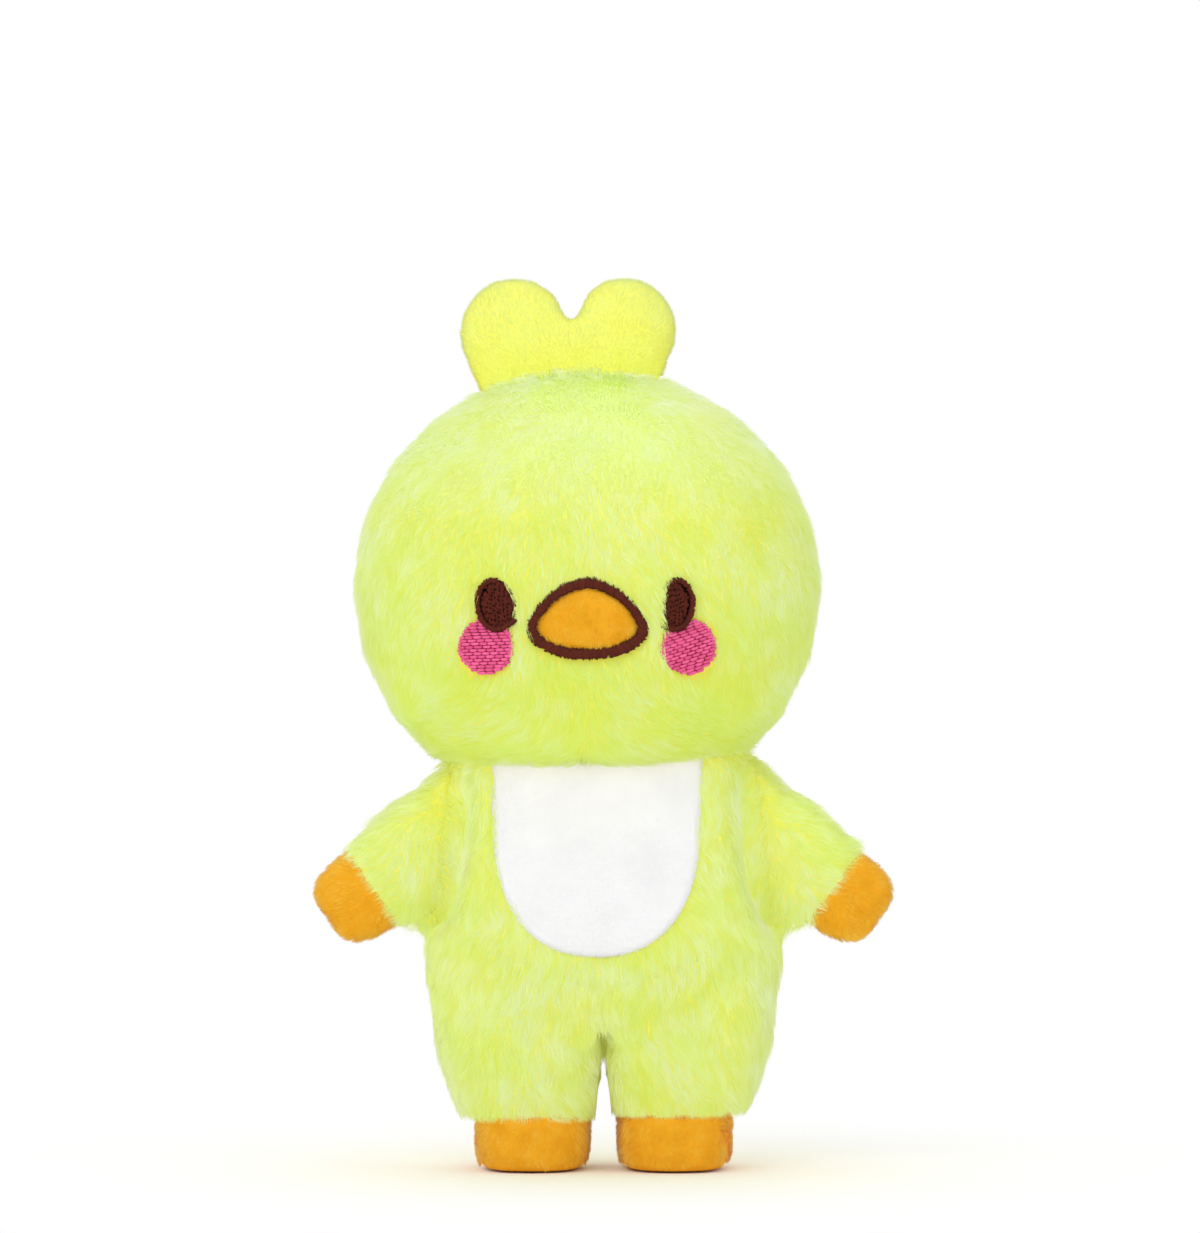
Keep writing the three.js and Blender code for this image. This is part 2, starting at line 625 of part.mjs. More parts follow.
function addArm(body, name, side) {
  const hinge = armHinge(side);
  const sleeve = sleeveForm(hinge, 0).subtract(sleeveForm(hinge, FUR, 1));
  piece(body, `${name}_sleeve_front`, sleeve.intersect(inFrontOf(0)), FUR_YELLOW);
  piece(body, `${name}_sleeve_back`, sleeve.intersect(behind(0)), FUR_YELLOW);

  const hand = handForm(hinge, 0, CLEARANCE).subtract(handForm(hinge, PLUSH, CLEARANCE - 1));
  piece(body, `${name}_hand_front`, hand.intersect(inFrontOf(0)), ORANGE);
  piece(body, `${name}_hand_back`, hand.intersect(behind(0)), ORANGE);

  const inSleeve = sleeveForm(hinge, FUR + CLEARANCE, 2);
  const inHand = handForm(hinge, PLUSH + CLEARANCE, 2 * CLEARANCE);
  piece(body, `${name}_arm_stuffing`, inSleeve.add(inHand), FIBRE);
}

// Legs

function legForm(hinge, inset, past = 0) {
  const hipOut = LEG_GAP / 2 + HIP_HALF_WIDTH;
  const stations = [];
  for (let level = 1; level <= LIMB_LEVELS; level++) {
    const share = level / LIMB_LEVELS;
    const drawn = share ** 2;
    stations.push({
      along: (HEM_OUT - hipOut) * drawn,
      out: LEG_LENGTH * share,
      halfWidth: HIP_HALF_WIDTH + (HEM_HALF_WIDTH - HIP_HALF_WIDTH) * drawn,
      halfThickness: HIP_HALF_DEPTH + (HEM_HALF_DEPTH - HIP_HALF_DEPTH) * drawn,
    });
  }
  if (past > 0) stations.push({ ...stations.at(-1), out: LEG_LENGTH + past });
  return limbForm(hinge, stations, inset);
}

// A foot between two heights, drawn in towards the floor.
function footForm(side, inset, bottom, top) {
  const middle = (z) => new THREE.Vector3(side * FOOT_OUT, -FOOT_FORWARD, z);
  const at = (z) => {
    const drawn = SOLE_ROUND * Math.max(0, 1 - z / (2 * SOLE)) ** 2 + inset;
    const halfWidth = FOOT_HALF_WIDTH - drawn;
    return ring(middle(z), X, Y, halfWidth, FOOT_HALF_DEPTH - drawn, LIMB_POWER, AROUND_LIMB);
  };
  return loft([bottom, (bottom + Math.min(top, 2 * SOLE + bottom)) / 2, top].map(at));
}

function addLeg(body, name, side) {
  const hinge = legHinge(side);
  const leg = legForm(hinge, 0).subtract(legForm(hinge, FUR, 1));
  piece(body, `${name}_leg_front`, leg.intersect(inFrontOf(0)), FUR_YELLOW);
  piece(body, `${name}_leg_back`, leg.intersect(behind(0)), FUR_YELLOW);

  const bottom = SOLE + CLEARANCE;
  const top = FOOT_HEIGHT - CLEARANCE;
  const upper = footForm(side, 0, bottom, top).subtract(footForm(side, PLUSH, bottom - 1, top + 1));
  piece(body, `${name}_foot_upper`, upper, ORANGE);
  piece(body, `${name}_sole`, footForm(side, 0, 0, SOLE), ORANGE);

  const lining = PLUSH + CLEARANCE;
  const inLeg = legForm(hinge, FUR + CLEARANCE);
  const ankle = footForm(side, lining, bottom, FOOT_HEIGHT + 1).intersect(legForm(hinge, FUR + CLEARANCE, 2));
  const inFoot = footForm(side, lining, bottom, top - CLEARANCE).add(ankle);
  piece(body, `${name}_leg_stuffing`, inLeg.add(inFoot), FIBRE);
}

// The whole chick, with one group for each part that moves by itself

const chick = bodyAt(null, 0, 0, 0);
const torso = bodyAt(chick, 0, 0, HIP_Z);
const neck = bodyAt(torso, neckX, 0, NECK_Z);
const head = bodyAt(neck, ...neckHinge.origin);
const comb = bodyAt(head, ...combHinge.origin);
addTorso(torso);
addNeck(neck);
addHead(head);
addComb(comb);
for (const [name, side] of [["left", 1], ["right", -1]]) {
  addArm(bodyAt(torso, ...armHinge(side).origin), name, side);
  addLeg(bodyAt(torso, ...legHinge(side).origin), name, side);
}

export default chick;
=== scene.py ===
"""Looks of the plush chick: fur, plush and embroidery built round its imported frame.

Metres, +Z up, in the frame's own axes. The chick faces -Y and its own left is +X.
"""

import itertools
import json
import math
from dataclasses import dataclass, replace

import bmesh
import bpy
import numpy as np
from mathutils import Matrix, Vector
from mathutils.bvhtree import BVHTree
from mathutils.kdtree import KDTree


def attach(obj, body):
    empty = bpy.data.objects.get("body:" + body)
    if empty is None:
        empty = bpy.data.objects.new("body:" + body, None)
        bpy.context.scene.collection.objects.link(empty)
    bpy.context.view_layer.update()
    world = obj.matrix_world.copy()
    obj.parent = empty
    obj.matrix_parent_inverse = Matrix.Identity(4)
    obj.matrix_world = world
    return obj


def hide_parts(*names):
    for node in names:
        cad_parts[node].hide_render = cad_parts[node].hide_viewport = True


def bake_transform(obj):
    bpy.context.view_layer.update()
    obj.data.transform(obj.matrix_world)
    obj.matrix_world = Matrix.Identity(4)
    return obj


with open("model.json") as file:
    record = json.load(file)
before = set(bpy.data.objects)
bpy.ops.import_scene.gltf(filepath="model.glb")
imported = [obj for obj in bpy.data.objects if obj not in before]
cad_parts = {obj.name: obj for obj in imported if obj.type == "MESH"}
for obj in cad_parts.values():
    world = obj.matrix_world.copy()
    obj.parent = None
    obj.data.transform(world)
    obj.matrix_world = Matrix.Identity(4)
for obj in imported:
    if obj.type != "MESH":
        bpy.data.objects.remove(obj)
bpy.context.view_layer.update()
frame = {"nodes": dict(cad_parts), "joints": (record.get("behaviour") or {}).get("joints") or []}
NODES = frame["nodes"]
JOINTS = {joint["name"]: joint for joint in frame["joints"]}
SIDES = {"left": 1, "right": -1}
MM = 0.001
SEED = 11

# The picture: a long lens, level with the cheeks
CAMERA_X = -1.0 * MM
CAMERA_Z = 154.6 * MM
CAMERA_BACK = 2.0
SENSOR_WIDTH = 36
PICTURE_HEIGHT = 345.6 * MM  # of the plane through the middle of the toy

# The studio: white paper, and round lamps by their places and powers
PAPER_HALF = 6.0
PAPER_FADE = (0.06, 0.22)  # distances over which it runs out into the background
ROOM_LIGHT = 0.7
LAMP_AIM = (0, 0, 0.13)
LAMP_SIZE = 0.9
LAMPS = {
    "key": ((-0.3, -1.1, 1.0), 4.3),
    "right fill": ((-1.0, -0.7, 0.35), 2.6),
    "left fill": ((1.0, -0.7, 0.35), 2.6),
    "top": ((0, 0.2, 1.3), 2.6),
    "back": ((0, 1.2, 0.8), 2.6),
}

# Skins: the knit backing that the pile stands on
VOXEL = 2.4 * MM
FINE_VOXEL = 1.3 * MM
FUR_DEPTH = 1.8 * MM
PLUSH_DEPTH = 1.1 * MM
COMB_DEPTH = 0.2 * MM
SOFTENED = {"head": 14, "body": 12, "hand": 10, "foot": 16, "comb": 10, "neck": 6}  # rounds of smoothing
STUFFING_FRAMES = 20
STUFFING_PRESSURE = 4.0
STUFFING_MOST = 1.6 * MM  # how far a skin may swell

# Seams: how deep they draw a skin in, and over what half width
PLAIN_SEAM = (0.8 * MM, 2 * MM)
FRONT_SEAM = (0.9 * MM, 2 * MM)
SIDE_SEAM = (0.6 * MM, 2 * MM)
SHOULDER_SEAM = (1.1 * MM, 2.6 * MM)
CHIN_DART = (0.9 * MM, 1.8 * MM)
HAND_DART = (1.0 * MM, 1.1 * MM)

# Head
HEAD_X = -4.5 * MM
HEAD_Z = 163.3 * MM
HEAD_SEAM_Y = 3 * MM
HEAD_OUTSIDE = 0.25  # least that a skin faces outwards where fur grows on it
HEAD_AWAY = 0.5  # how far its fur leans out from its middle
CHIN_Z = 117 * MM
CHIN_FAN = 1.2  # how far the fur under the face leans sideways
CHIN_FAN_HALF = 16 * MM
CHIN_FANNED = (CHIN_Z + 3 * MM, 146 * MM)  # heights between which it no longer does
DART_X = HEAD_X - 1.2 * MM  # the short dart under the chin
DART_FROM = (CHIN_Z - 2 * MM, CHIN_Z + 2 * MM)
DART_TOP = 132 * MM
DART_TO = (DART_TOP - 4 * MM, DART_TOP + 6 * MM)
CHIN_LEVELS = (  # height, half width and half depth of the full chin round the neck, in mm
    (113, 33, 24),
    (114.5, 37.5, 29),
    (117, 41.5, 33.5),
    (120, 45, 37),
    (124, 49, 40),
    (129, 53.5, 43),
    (135, 57.5, 45.5),
)
CROWN_LEVELS = (  # the same of the crown round the comb
    (208, 43, 33),
    (213, 36.5, 28),
    (217.5, 29, 22),
    (221, 20, 15),
    (223.2, 10, 8),
)
CROWN_KNIT_HIGHLIGHT = (172 * MM, 205 * MM)  # heights between which a painted highlight makes the backing paler
CROWN_HIGHLIGHT = (178 * MM, 212 * MM)  # heights between which a painted highlight makes the pile paler, and how much
CROWN_HIGHLIGHT_TONE = 0.6
FACE_SHADE = (122 * MM, 155 * MM)  # heights over which the painted shade of the lower face fades out, and how much it is
FACE_SHADE_TONE = 0.65
# painted shade under the chin, fading out between these heights, and how much
CHIN_SHADE = (113 * MM, 124 * MM)
CHIN_SHADE_TONE = 0.4

# Comb
COMB_ROOT = (23 * MM, 6 * MM)  # half the width and the depth of its foot
COMB_FRINGE = (1 * MM, 8 * MM)  # from its foot, where the fur that stands up ends
FRINGE_UPRIGHT = 0.5
# how much paler the fur by the comb's foot is painted: painted light over the comb's shade
FRINGE_LIGHT_TONE = 0.8
COMB_LIGHTER_OVER = 20 * MM  # how far up the comb's painted shade at its foot turns to paler pile
CLEFT_X = -8.6 * MM  # between its lobes
CLEFT_Z = 239 * MM
CLEFT_HALF = 6 * MM
CLEFT_DEEP = 10 * MM
CLEFT_DRAWN = 2.6 * MM

# Face, as seen from the front, from the middle of the head
EYE_OUT = {"left": 24.1 * MM, "right": 25.3 * MM}
EYE_DOWN = 5.5 * MM
EYE_HALF = (5.5 * MM, 7.4 * MM)
EYE_TILT = math.radians(7)  # the lower ends lean to the beak
EYE_FILL = (1.0 * MM, 0.9 * MM)  # how much less wide and high the fill is
EYE_FILL_OFF = 0.8 * MM
EYE_FILL_SLANT = math.radians(65)
EYE_RIM = 1.2 * MM
EYE_RIM_TURN = (75, 325)  # degrees at which the rim starts and ends
EYE_TICK = 1.0 * MM  # how far the end of an eye's rim runs out
EYE_HIDDEN = {"left": 2.0 * MM, "right": 0.0}  # of an eye's width, under the fur beside the beak
EYE_COVER = 1.7 * MM  # how high that fur lies
EYE_COVER_HALF = 2.5 * MM
CHEEK_OUT = 28.1 * MM
CHEEK_DOWN = 17.2 * MM
CHEEK_HALF = 7.6 * MM
CHEEK_SLANT = {"left": math.radians(18), "right": math.radians(2)}
BEAK_DOWN = 9.4 * MM
BEAK_HALF = (16.8 * MM, 11.2 * MM)
BEAK_BORDER = 2.9 * MM
BEAK_CURVES = (  # its right half, in shares of its half width and height
    ((0, 1), (0.36, 1), (0.88, 0.42), (1, -0.25)),
    ((1, -0.25), (1, -0.62), (0.62, -1), (0, -1)),
)

# Threads: how deep they lie in the pile, how thick they are and how high they arch
BEAK_THREAD = (1.1 * MM, 0.62 * MM, 1.3 * MM)
EYE_THREAD = (1.1 * MM, 0.6 * MM, 0.7 * MM)
RIM_THREAD = (0.5 * MM, 0.6 * MM, 0.9 * MM)
CHEEK_THREAD = (1.0 * MM, 0.9 * MM, 0.5 * MM)
STITCH_ENDS = np.array([0.7, 1, 1, 1, 1, 0.7])  # share of a thread's thickness along a stitch
STITCH_SIDES = 6
STITCH_SOFTNESS = 0.15
SATIN_PITCH = 0.42 * MM
BEAK_ROUGH = 0.22 * MM  # how uneven the ends of a border's stitches are
RIM_ROUGH = 0.15 * MM
EYE_ROWS = 0.5 * MM
EYE_STITCH = (2.2 * MM, 0.4 * MM)  # length of a fill's stitches, and how uneven they are
CHEEK_ROWS = 0.9 * MM
CHEEK_STITCH = (2.4 * MM, 0.12 * MM)

# Patches: how deep they lie, how far they puff out, how thick they are and their rings of faces
BEAK_PATCH = (1.4 * MM, 1.6 * MM, 1.5 * MM, 7)
EYE_PATCH = (1.5 * MM, 0.6 * MM, 1 * MM, 4)
CHEEK_PATCH = (1.5 * MM, 0.4 * MM, 1 * MM, 4)
BIB_PATCH = (0.9 * MM, 1.0 * MM, 1.8 * MM, 14)
PATCH_IN = 0.4 * MM  # how far a patch's edge lies inside its stitches
ELLIPSE_POINTS = 40

# Body
NECK_Z = 112.5 * MM
NECK_RISE = 6 * MM  # how far the neck reaches up under the chin
NECK_RISES = (NECK_Z - 11 * MM, NECK_Z - 2 * MM)  # heights between which it starts to
NECK_RISEN = (39 * MM, 52 * MM)  # from the middle, where that starts to end and ends
HIP_LEVELS = (  # height, half width and half depth of the belly down between the legs, in mm
    (38.5, 43, 23),
    (41, 45.2, 25.8),
    (45, 46.8, 27.8),
    (50, 48, 29.4),
    (55, 49, 30.6),
    (62, 49.4, 31.4),
)
BODY_POWER = 2.3  # 2 is an ellipse, more is squarer
RING_POINTS = 48
FRONT_SEAM_TOP = 62 * MM
SEAM_HELD = 2 * MM
FUR_TOP = NECK_Z + 4 * MM
CUFF_BARE = 0.5 * MM

# Arms
CUFF_REACH = 17.6 * MM
CUFF_DROOP = 12.9 * MM
CUFF_TILT = math.radians(41.5)
CUFF_STRETCH = (-9 * MM, -3 * MM)  # past the cuff, over which a sleeve reaches out to its hand
ARMPIT_Z = 70 * MM
ARM_CLEAR_X = 53 * MM  # outside this, all below the armpit is sleeve
SHOULDER_PARTING = (0.6, 9 * MM)  # how far the fur leans off a shoulder's seam, and over what half width
SLEEVE_FLOW = (-1 * MM, 5 * MM)  # past that seam, where the fur turns along the sleeve
HAND_LONGER = 0.17  # share that the stuffing stretches a hand by
HAND_DART_WAY = (0.53, 0, -0.85)  # on the left hand
HAND_FRONT = -2 * MM

# How the belly's fur fans out: how far, by width and depth, and the heights between which it no longer does
BELLY_FAN = 0.55
BELLY_FAN_BACK = 0.3
BELLY_FAN_HALF = (60 * MM, 30 * MM)
BELLY_FANNED = (ARMPIT_Z - 12 * MM, ARMPIT_Z + 4 * MM)

# Legs, from the middle or the floor: where a form starts to change and where it has changed
LEG_SEAM_Z = 50 * MM
LEG_SOFT_ACROSS = 12 * MM
LEG_SOFT_DOWN = 32 * MM
HEM_Z = 17 * MM
HEM_DROP = {"left": 0.5 * MM, "right": 1.8 * MM}  # how far each hem hangs over its foot
HEM_FREE = (HEM_Z + 3 * MM, HEM_Z + 9 * MM)
HEM_UNDER = (-0.75, HEM_Z + 6 * MM)  # what faces down more than this, and lies lower, is bare
SOLE_LOWERED = 0.6 * MM  # brings the soles' pile down to the floor
SOLE_EDGE = 5 * MM
CROTCH_Z = 36 * MM
CROTCH_LIFT = 5 * MM
CROTCH_HALF = (1 * MM, 3 * MM)
CROTCH_FROM = (22 * MM, 27 * MM)
CROTCH_TO = (33 * MM, 44 * MM)
THIGH_FULLER = 0.1  # how much deeper the legs are below the belly
THIGH_HALF = (8 * MM, 24 * MM)
THIGH_FROM = (20 * MM, 33 * MM)
THIGH_TO = (37 * MM, 46 * MM)
BETWEEN_LEGS = (4 * MM, 12 * MM)
THIN_BETWEEN = 0.7  # share by which the pile there is thinner
LEG_PARTING = (0.3 * MM, 3.6 * MM)  # half the gap between the legs, at the crotch and at the floor

# Bib
BIB_X = -2 * MM
BIB_HALF = 28.4 * MM
BIB_BOTTOM = 61.2 * MM
BIB_TOP = 117 * MM
BIB_ROUND = 36 * MM
BIB_POWER = 2.3
BIB_FLARE = 1.4 * MM  # how much wider it is at the top
BIB_POINTS = (40, 17)  # round its bottom and along its top
BIB_UNDER = 0.6 * MM  # how far its edge runs under the fur

# How far fur laps over what it meets
FACE_LAP = 0.3 * MM
BIB_LAP = 1.2 * MM
HEM_LAP = 1.6 * MM
CUFF_LAP = 4 * MM


def collection_add(obj):
    bpy.context.scene.collection.objects.link(obj)
    return obj


def unit(vectors):
    length = np.linalg.norm(vectors, axis=-1, keepdims=True)
    return vectors / np.maximum(length, 1e-12)


def smoothstep(low, high, value):
    t = np.clip((value - low) / (high - low), 0, 1)
    return t * t * (3 - 2 * t)


def groove(distance, depth, half_width):
    return depth * np.exp(-((distance / half_width) ** 2))


def noise(points, size, seed):
    """Smooth seeded noise from -1 to 1, with patches about as large as size."""
    scaled = points / size + 1000.0
    cell = np.floor(scaled).astype(np.int64)
    part = scaled - cell
    part = part * part * (3 - 2 * part)
    total = np.zeros(len(points))
    for corner in itertools.product((0, 1), repeat=3):
        at = cell + np.array(corner)
        mixed = at[:, 0] * 73856093 ^ at[:, 1] * 19349663 ^ at[:, 2] * 83492791 ^ (seed + 1) * 2654435761
        mixed = ((mixed ^ (mixed >> 13)) * 1274126177) & 0xFFFFFFFF
        mixed = mixed ^ (mixed >> 16)
        value = (mixed & 0xFFFF) / 32767.5 - 1
        weight = np.prod(np.where(corner, part, 1 - part), axis=1)
        total += weight * value
    return total


# Materials


def colour(red, green, blue):
    """A colour written as 0 to 255, in the renderer's linear values."""
    values = [c / 255 for c in (red, green, blue)]
    return [c / 12.92 if c <= 0.04045 else ((c + 0.055) / 1.055) ** 2.4 for c in values] + [1.0]


class Nodes:
    """A material and short ways to add and join its nodes."""

    def __init__(self, name):
        self.material = bpy.data.materials.new(name)
        self.material.use_nodes = True
        self.tree = self.material.node_tree
        self.shader = self.tree.nodes["Principled BSDF"]

    def add(self, kind, **settings):
        node = self.tree.nodes.new(kind)
        for key, value in settings.items():
            setattr(node, key, value)
        return node

    def join(self, source, target):
        self.tree.links.new(source, target)

    def noise(self, scale, detail=2.0):
        place = self.add("ShaderNodeTexCoord")
        node = self.add("ShaderNodeTexNoise")
        node.inputs["Scale"].default_value = scale
        node.inputs["Detail"].default_value = detail
        self.join(place.outputs["Object"], node.inputs["Vector"])
        return node.outputs["Fac"]

    def attribute(self, name):
        return self.add("ShaderNodeAttribute", attribute_name=name).outputs["Fac"]

    def ramp(self, source, *stops):
        node = self.add("ShaderNodeValToRGB")
        elements = node.color_ramp.elements
        while len(elements) < len(stops):
            elements.new(0.5)
        for element, (place, value) in zip(elements, stops, strict=True):
            element.position = place
            element.color = value
        self.join(source, node.inputs["Fac"])
        return node.outputs["Color"]

    def mix(self, share, first, second, blend="MIX"):
        node = self.add("ShaderNodeMix", data_type="RGBA", blend_type=blend)
        node.inputs["Factor"].default_value = share
        self.join(first, node.inputs["A"])
        self.join(second, node.inputs["B"])
        return node.outputs["Result"]

    def paint(self, source):
        self.join(source, self.shader.inputs["Base Color"])

    def bump(self, source, strength, distance):
        node = self.add("ShaderNodeBump")
        node.inputs["Strength"].default_value = strength
        node.inputs["Distance"].default_value = distance
        self.join(source, node.inputs["Height"])
        self.join(node.outputs["Normal"], self.shader.inputs["Normal"])

    def finish(self, roughness, sheen=0.0, specular=0.2):
        self.shader.inputs["Roughness"].default_value = roughness
        self.shader.inputs["Sheen Weight"].default_value = sheen
        self.shader.inputs["Sheen Roughness"].default_value = 0.5
        self.shader.inputs["Specular IOR Level"].default_value = specular
        return self.material


UNDYED = (1.0, 1.0, 1.0, 1.0)


def pile_material(name, patch, **dyes):
    """Fibres in soft patches of dye, with no two tufts quite alike, and a painted shade that makes them
    deeper towards their roots.
    """
    base, pale, deep, warm, root = (colour(*dyes[dye]) for dye in ("base", "pale", "deep", "warm", "root"))
    nodes = Nodes(name)
    patches = nodes.ramp(nodes.noise(1 / patch), (0.36, deep), (0.5, base), (0.64, pale))
    tinge = nodes.ramp(nodes.noise(0.6 / patch), (0.45, base), (0.62, warm))
    tufts = nodes.ramp(nodes.attribute("tuft"), (0.0, deep), (0.5, base), (1.0, pale))
    dyed = nodes.mix(0.45, nodes.mix(0.4, patches, tinge), tufts)
    # painted shade: each fibre darkens to its root colour near the skin, in place of the shadow between
    # fibres
    depth = nodes.ramp(nodes.attribute("along"), (0.0, root), (0.7, UNDYED))
    nodes.paint(nodes.mix(1.0, dyed, depth, "MULTIPLY"))
    return nodes.finish(0.85, sheen=0.15, specular=0.1)


def knit_material(name, first, second, crown=None):
    """Backing between the fibres, grained like a knit. A crown colour, a painted highlight, shows where
    that attribute is 1.
    """
    first, second = colour(*first), colour(*second)
    nodes = Nodes(name)
    grain = nodes.ramp(nodes.noise(180.0), (0.3, first), (0.7, second))
    if crown is not None:
        shown = nodes.ramp(nodes.attribute("crown"), (0.0, first), (1.0, colour(*crown)))
        grain = nodes.mix(0.7, grain, shown)
    nodes.paint(grain)
    nodes.bump(nodes.noise(1500.0), 0.4, 0.2 * MM)
    return nodes.finish(0.95)


def thread_material(name, dark, light):
    """Thread with a soft gloss, a little different from stitch to stitch, with a painted highlight along
    the middle of each stitch and painted shade at its ends, where it dips.
    """
    dark, light = colour(*dark), colour(*light)
    nodes = Nodes(name)
    # painted highlight on each stitch's crest, painted shade at both ends
    along = nodes.ramp(nodes.attribute("along"), (0.0, dark), (0.25, light), (0.75, light), (1.0, dark))
    tufts = nodes.ramp(nodes.attribute("tuft"), (0.0, dark), (1.0, light))
    nodes.paint(nodes.mix(0.4, along, tufts))
    nodes.bump(nodes.noise(2500.0, 1.0), 0.25, 0.1 * MM)
    return nodes.finish(0.5, specular=0.12)


def plain_material(name, dark, light, grain, lumps, relief, roughness, sheen):
    """Cloth or loose fibre in two near tones, with small lumps."""
    nodes = Nodes(name)
    nodes.paint(nodes.ramp(nodes.noise(*grain), (0.3, colour(*dark)), (0.7, colour(*light))))
    nodes.bump(nodes.noise(*lumps), *relief)
    return nodes.finish(roughness, sheen=sheen)


GUARD_FUR = pile_material(
    "long fur",
    base=(236, 255, 160),
    pale=(241, 255, 218),
    deep=(222, 250, 112),
    warm=(244, 252, 112),
    root=(244, 246, 206),
    patch=13 * MM,
)
# The short layer's deeper yellow is painted shade of the pile's depth, where light bounces between fibres.
UNDER_FUR = pile_material(
    "under fur",
    base=(234, 253, 118),
    pale=(237, 255, 158),
    deep=(224, 247, 86),
    warm=(244, 247, 80),
    root=(245, 245, 196),
    patch=13 * MM,
)
COMB = pile_material(
    "comb plush",
    base=(229, 240, 126),
    pale=(225, 243, 150),
    deep=(244, 236, 92),
    warm=(240, 234, 98),
    root=(242, 242, 208),
    patch=10 * MM,
)
ORANGE = pile_material(
    "orange plush",
    base=(250, 187, 36),
    pale=(255, 212, 92),
    deep=(224, 144, 8),
    warm=(252, 172, 12),
    root=(236, 226, 196),
    patch=6 * MM,
)
VELOUR_WHITE = pile_material(
    "white velour",
    base=(236, 236, 238),
    pale=(241, 241, 243),
    deep=(231, 231, 233),
    warm=(237, 237, 238),
    root=(246, 246, 246),
    patch=12 * MM,
)
# Each backing is a deeper colour than its pile's tips: painted shade of the pile's depth where it shows
# between the fibres.
FUR_KNIT = knit_material("fur knit", (238, 234, 86), (242, 242, 102))
HEAD_KNIT = knit_material("head knit", (238, 234, 86), (242, 242, 102), crown=(214, 246, 152))
COMB_KNIT = knit_material("comb knit", (240, 242, 100), (244, 247, 114))
ORANGE_KNIT = knit_material("orange knit", (226, 152, 18), (238, 166, 30))
# Each thread's dark and light tones span its painted shade and its painted highlight.
BROWN = thread_material("brown thread", (32, 7, 3), (92, 33, 18))
PINK = thread_material("pink thread", (178, 18, 68), (240, 104, 156))
WHITE = plain_material(
    "white panel",
    dark=(231, 231, 233),
    light=(238, 238, 240),
    grain=(90.0, 3.0),
    lumps=(900.0, 4.0),
    relief=(0.35, 0.4 * MM),
    roughness=0.9,
    sheen=0.1,
)
FIBRE = plain_material(
    "fibrefill",
    dark=(226, 226, 220),
    light=(246, 246, 242),
    grain=(300.0, 5.0),
    lumps=(600.0, 6.0),
    relief=(0.8, 0.8 * MM),
    roughness=0.95,
    sheen=0.3,
)


# Meshes


def superellipse(half_across, half_up, power, turn):
    """Points at turns of a rounded outline; a power of 2 is an ellipse, and more is squarer."""
    round_it = np.stack([np.cos(turn), np.sin(turn)], axis=1)
    return np.sign(round_it) * np.abs(round_it) ** (2 / power) * (half_across, half_up)


def add_loft(shape, rings):
    """Adds a closed form through rings of equally many points."""
    made = [[shape.verts.new(point) for point in ring] for ring in rings]
    for low, high in itertools.pairwise(made):
        for i in range(len(low)):
            j = (i + 1) % len(low)
            shape.faces.new((low[i], low[j], high[j], high[i]))
    shape.faces.new(reversed(made[0]))
    shape.faces.new(made[-1])


def full_turn(count):
    return np.arange(count) * 2 * math.pi / count


def filling(levels, middle_x):
    """Rings of a stuffed form, from heights, half widths and half depths in mm."""
    rings = []
    for z, half_width, half_depth in levels:
        flat = superellipse(half_width * MM, half_depth * MM, BODY_POWER, full_turn(RING_POINTS))
        rings.append([(middle_x + x, y, z * MM) for x, y in flat])
    return rings


def fused(name, nodes, voxel, soften, filled=False, fillings=()):
    """One smooth closed skin round frame nodes that lie against each other. A filled one has no hollow."""
    shape = bmesh.new()
    for node in nodes:
        shape.from_mesh(NODES[node].data)
    for rings in fillings:
        add_loft(shape, rings)
    bmesh.ops.remove_doubles(shape, verts=shape.verts, dist=0.01 * MM)
    if filled:
        points = [vert.co.copy() for vert in shape.verts]
        shape.clear()
        for point in points:
            shape.verts.new(point)
        bmesh.ops.convex_hull(shape, input=shape.verts)
        loose = [vert for vert in shape.verts if not vert.link_faces]
        bmesh.ops.delete(shape, geom=loose, context="VERTS")
    mesh = bpy.data.meshes.new(name)
    shape.to_mesh(mesh)
    shape.free()
    obj = collection_add(bpy.data.objects.new(name, mesh))
    remesh = obj.modifiers.new("fuse", "REMESH")
    remesh.mode = "VOXEL"
    remesh.voxel_size = voxel
    smooth = obj.modifiers.new("soften", "SMOOTH")
    smooth.factor = 0.5
    smooth.iterations = soften
    apply_modifiers(obj)
    keep_outer_shell(obj)
    return obj


def apply_modifiers(obj):
    bpy.context.view_layer.update()
    shown = obj.evaluated_get(bpy.context.evaluated_depsgraph_get())
    mesh = bpy.data.meshes.new_from_object(shown)
    obj.modifiers.clear()
    obj.data = mesh


def keep_outer_shell(obj):
    """Drops the small closed shells that a remesh leaves inside."""
    shape = bmesh.new()
    shape.from_mesh(obj.data)
    left, shells = set(shape.verts), []
    while left:
        shell, border = set(), [left.pop()]
        while border:
            vert = border.pop()
            shell.add(vert)
            for edge in vert.link_edges:
                other = edge.other_vert(vert)
                if other in left:
                    left.remove(other)
                    border.append(other)
        shells.append(shell)
    largest = max(shells, key=len)
    bmesh.ops.delete(shape, geom=[v for v in shape.verts if v not in largest], context="VERTS")
    bmesh.ops.recalc_face_normals(shape, faces=shape.faces)
    shape.to_mesh(obj.data)
    shape.free()
    shade_smooth(obj.data)


def shade_smooth(mesh):
    mesh.polygons.foreach_set("use_smooth", [True] * len(mesh.polygons))
    mesh.update()


def vertex_array(mesh, field="co"):
    values = np.zeros(len(mesh.vertices) * 3, np.float32)
    mesh.vertices.foreach_get(field, values)
    return values.reshape(-1, 3).astype(float)


def place_points(obj, points):
    obj.data.vertices.foreach_set("co", points.astype(np.float32).ravel())
    obj.data.update()


def inset(obj, depth):
    """Moves a skin in along its normals, by one depth or one for each point, to make room for pile."""
    normals = vertex_array(obj.data, "normal")
    place_points(obj, vertex_array(obj.data) - np.reshape(depth, (-1, 1)) * normals)


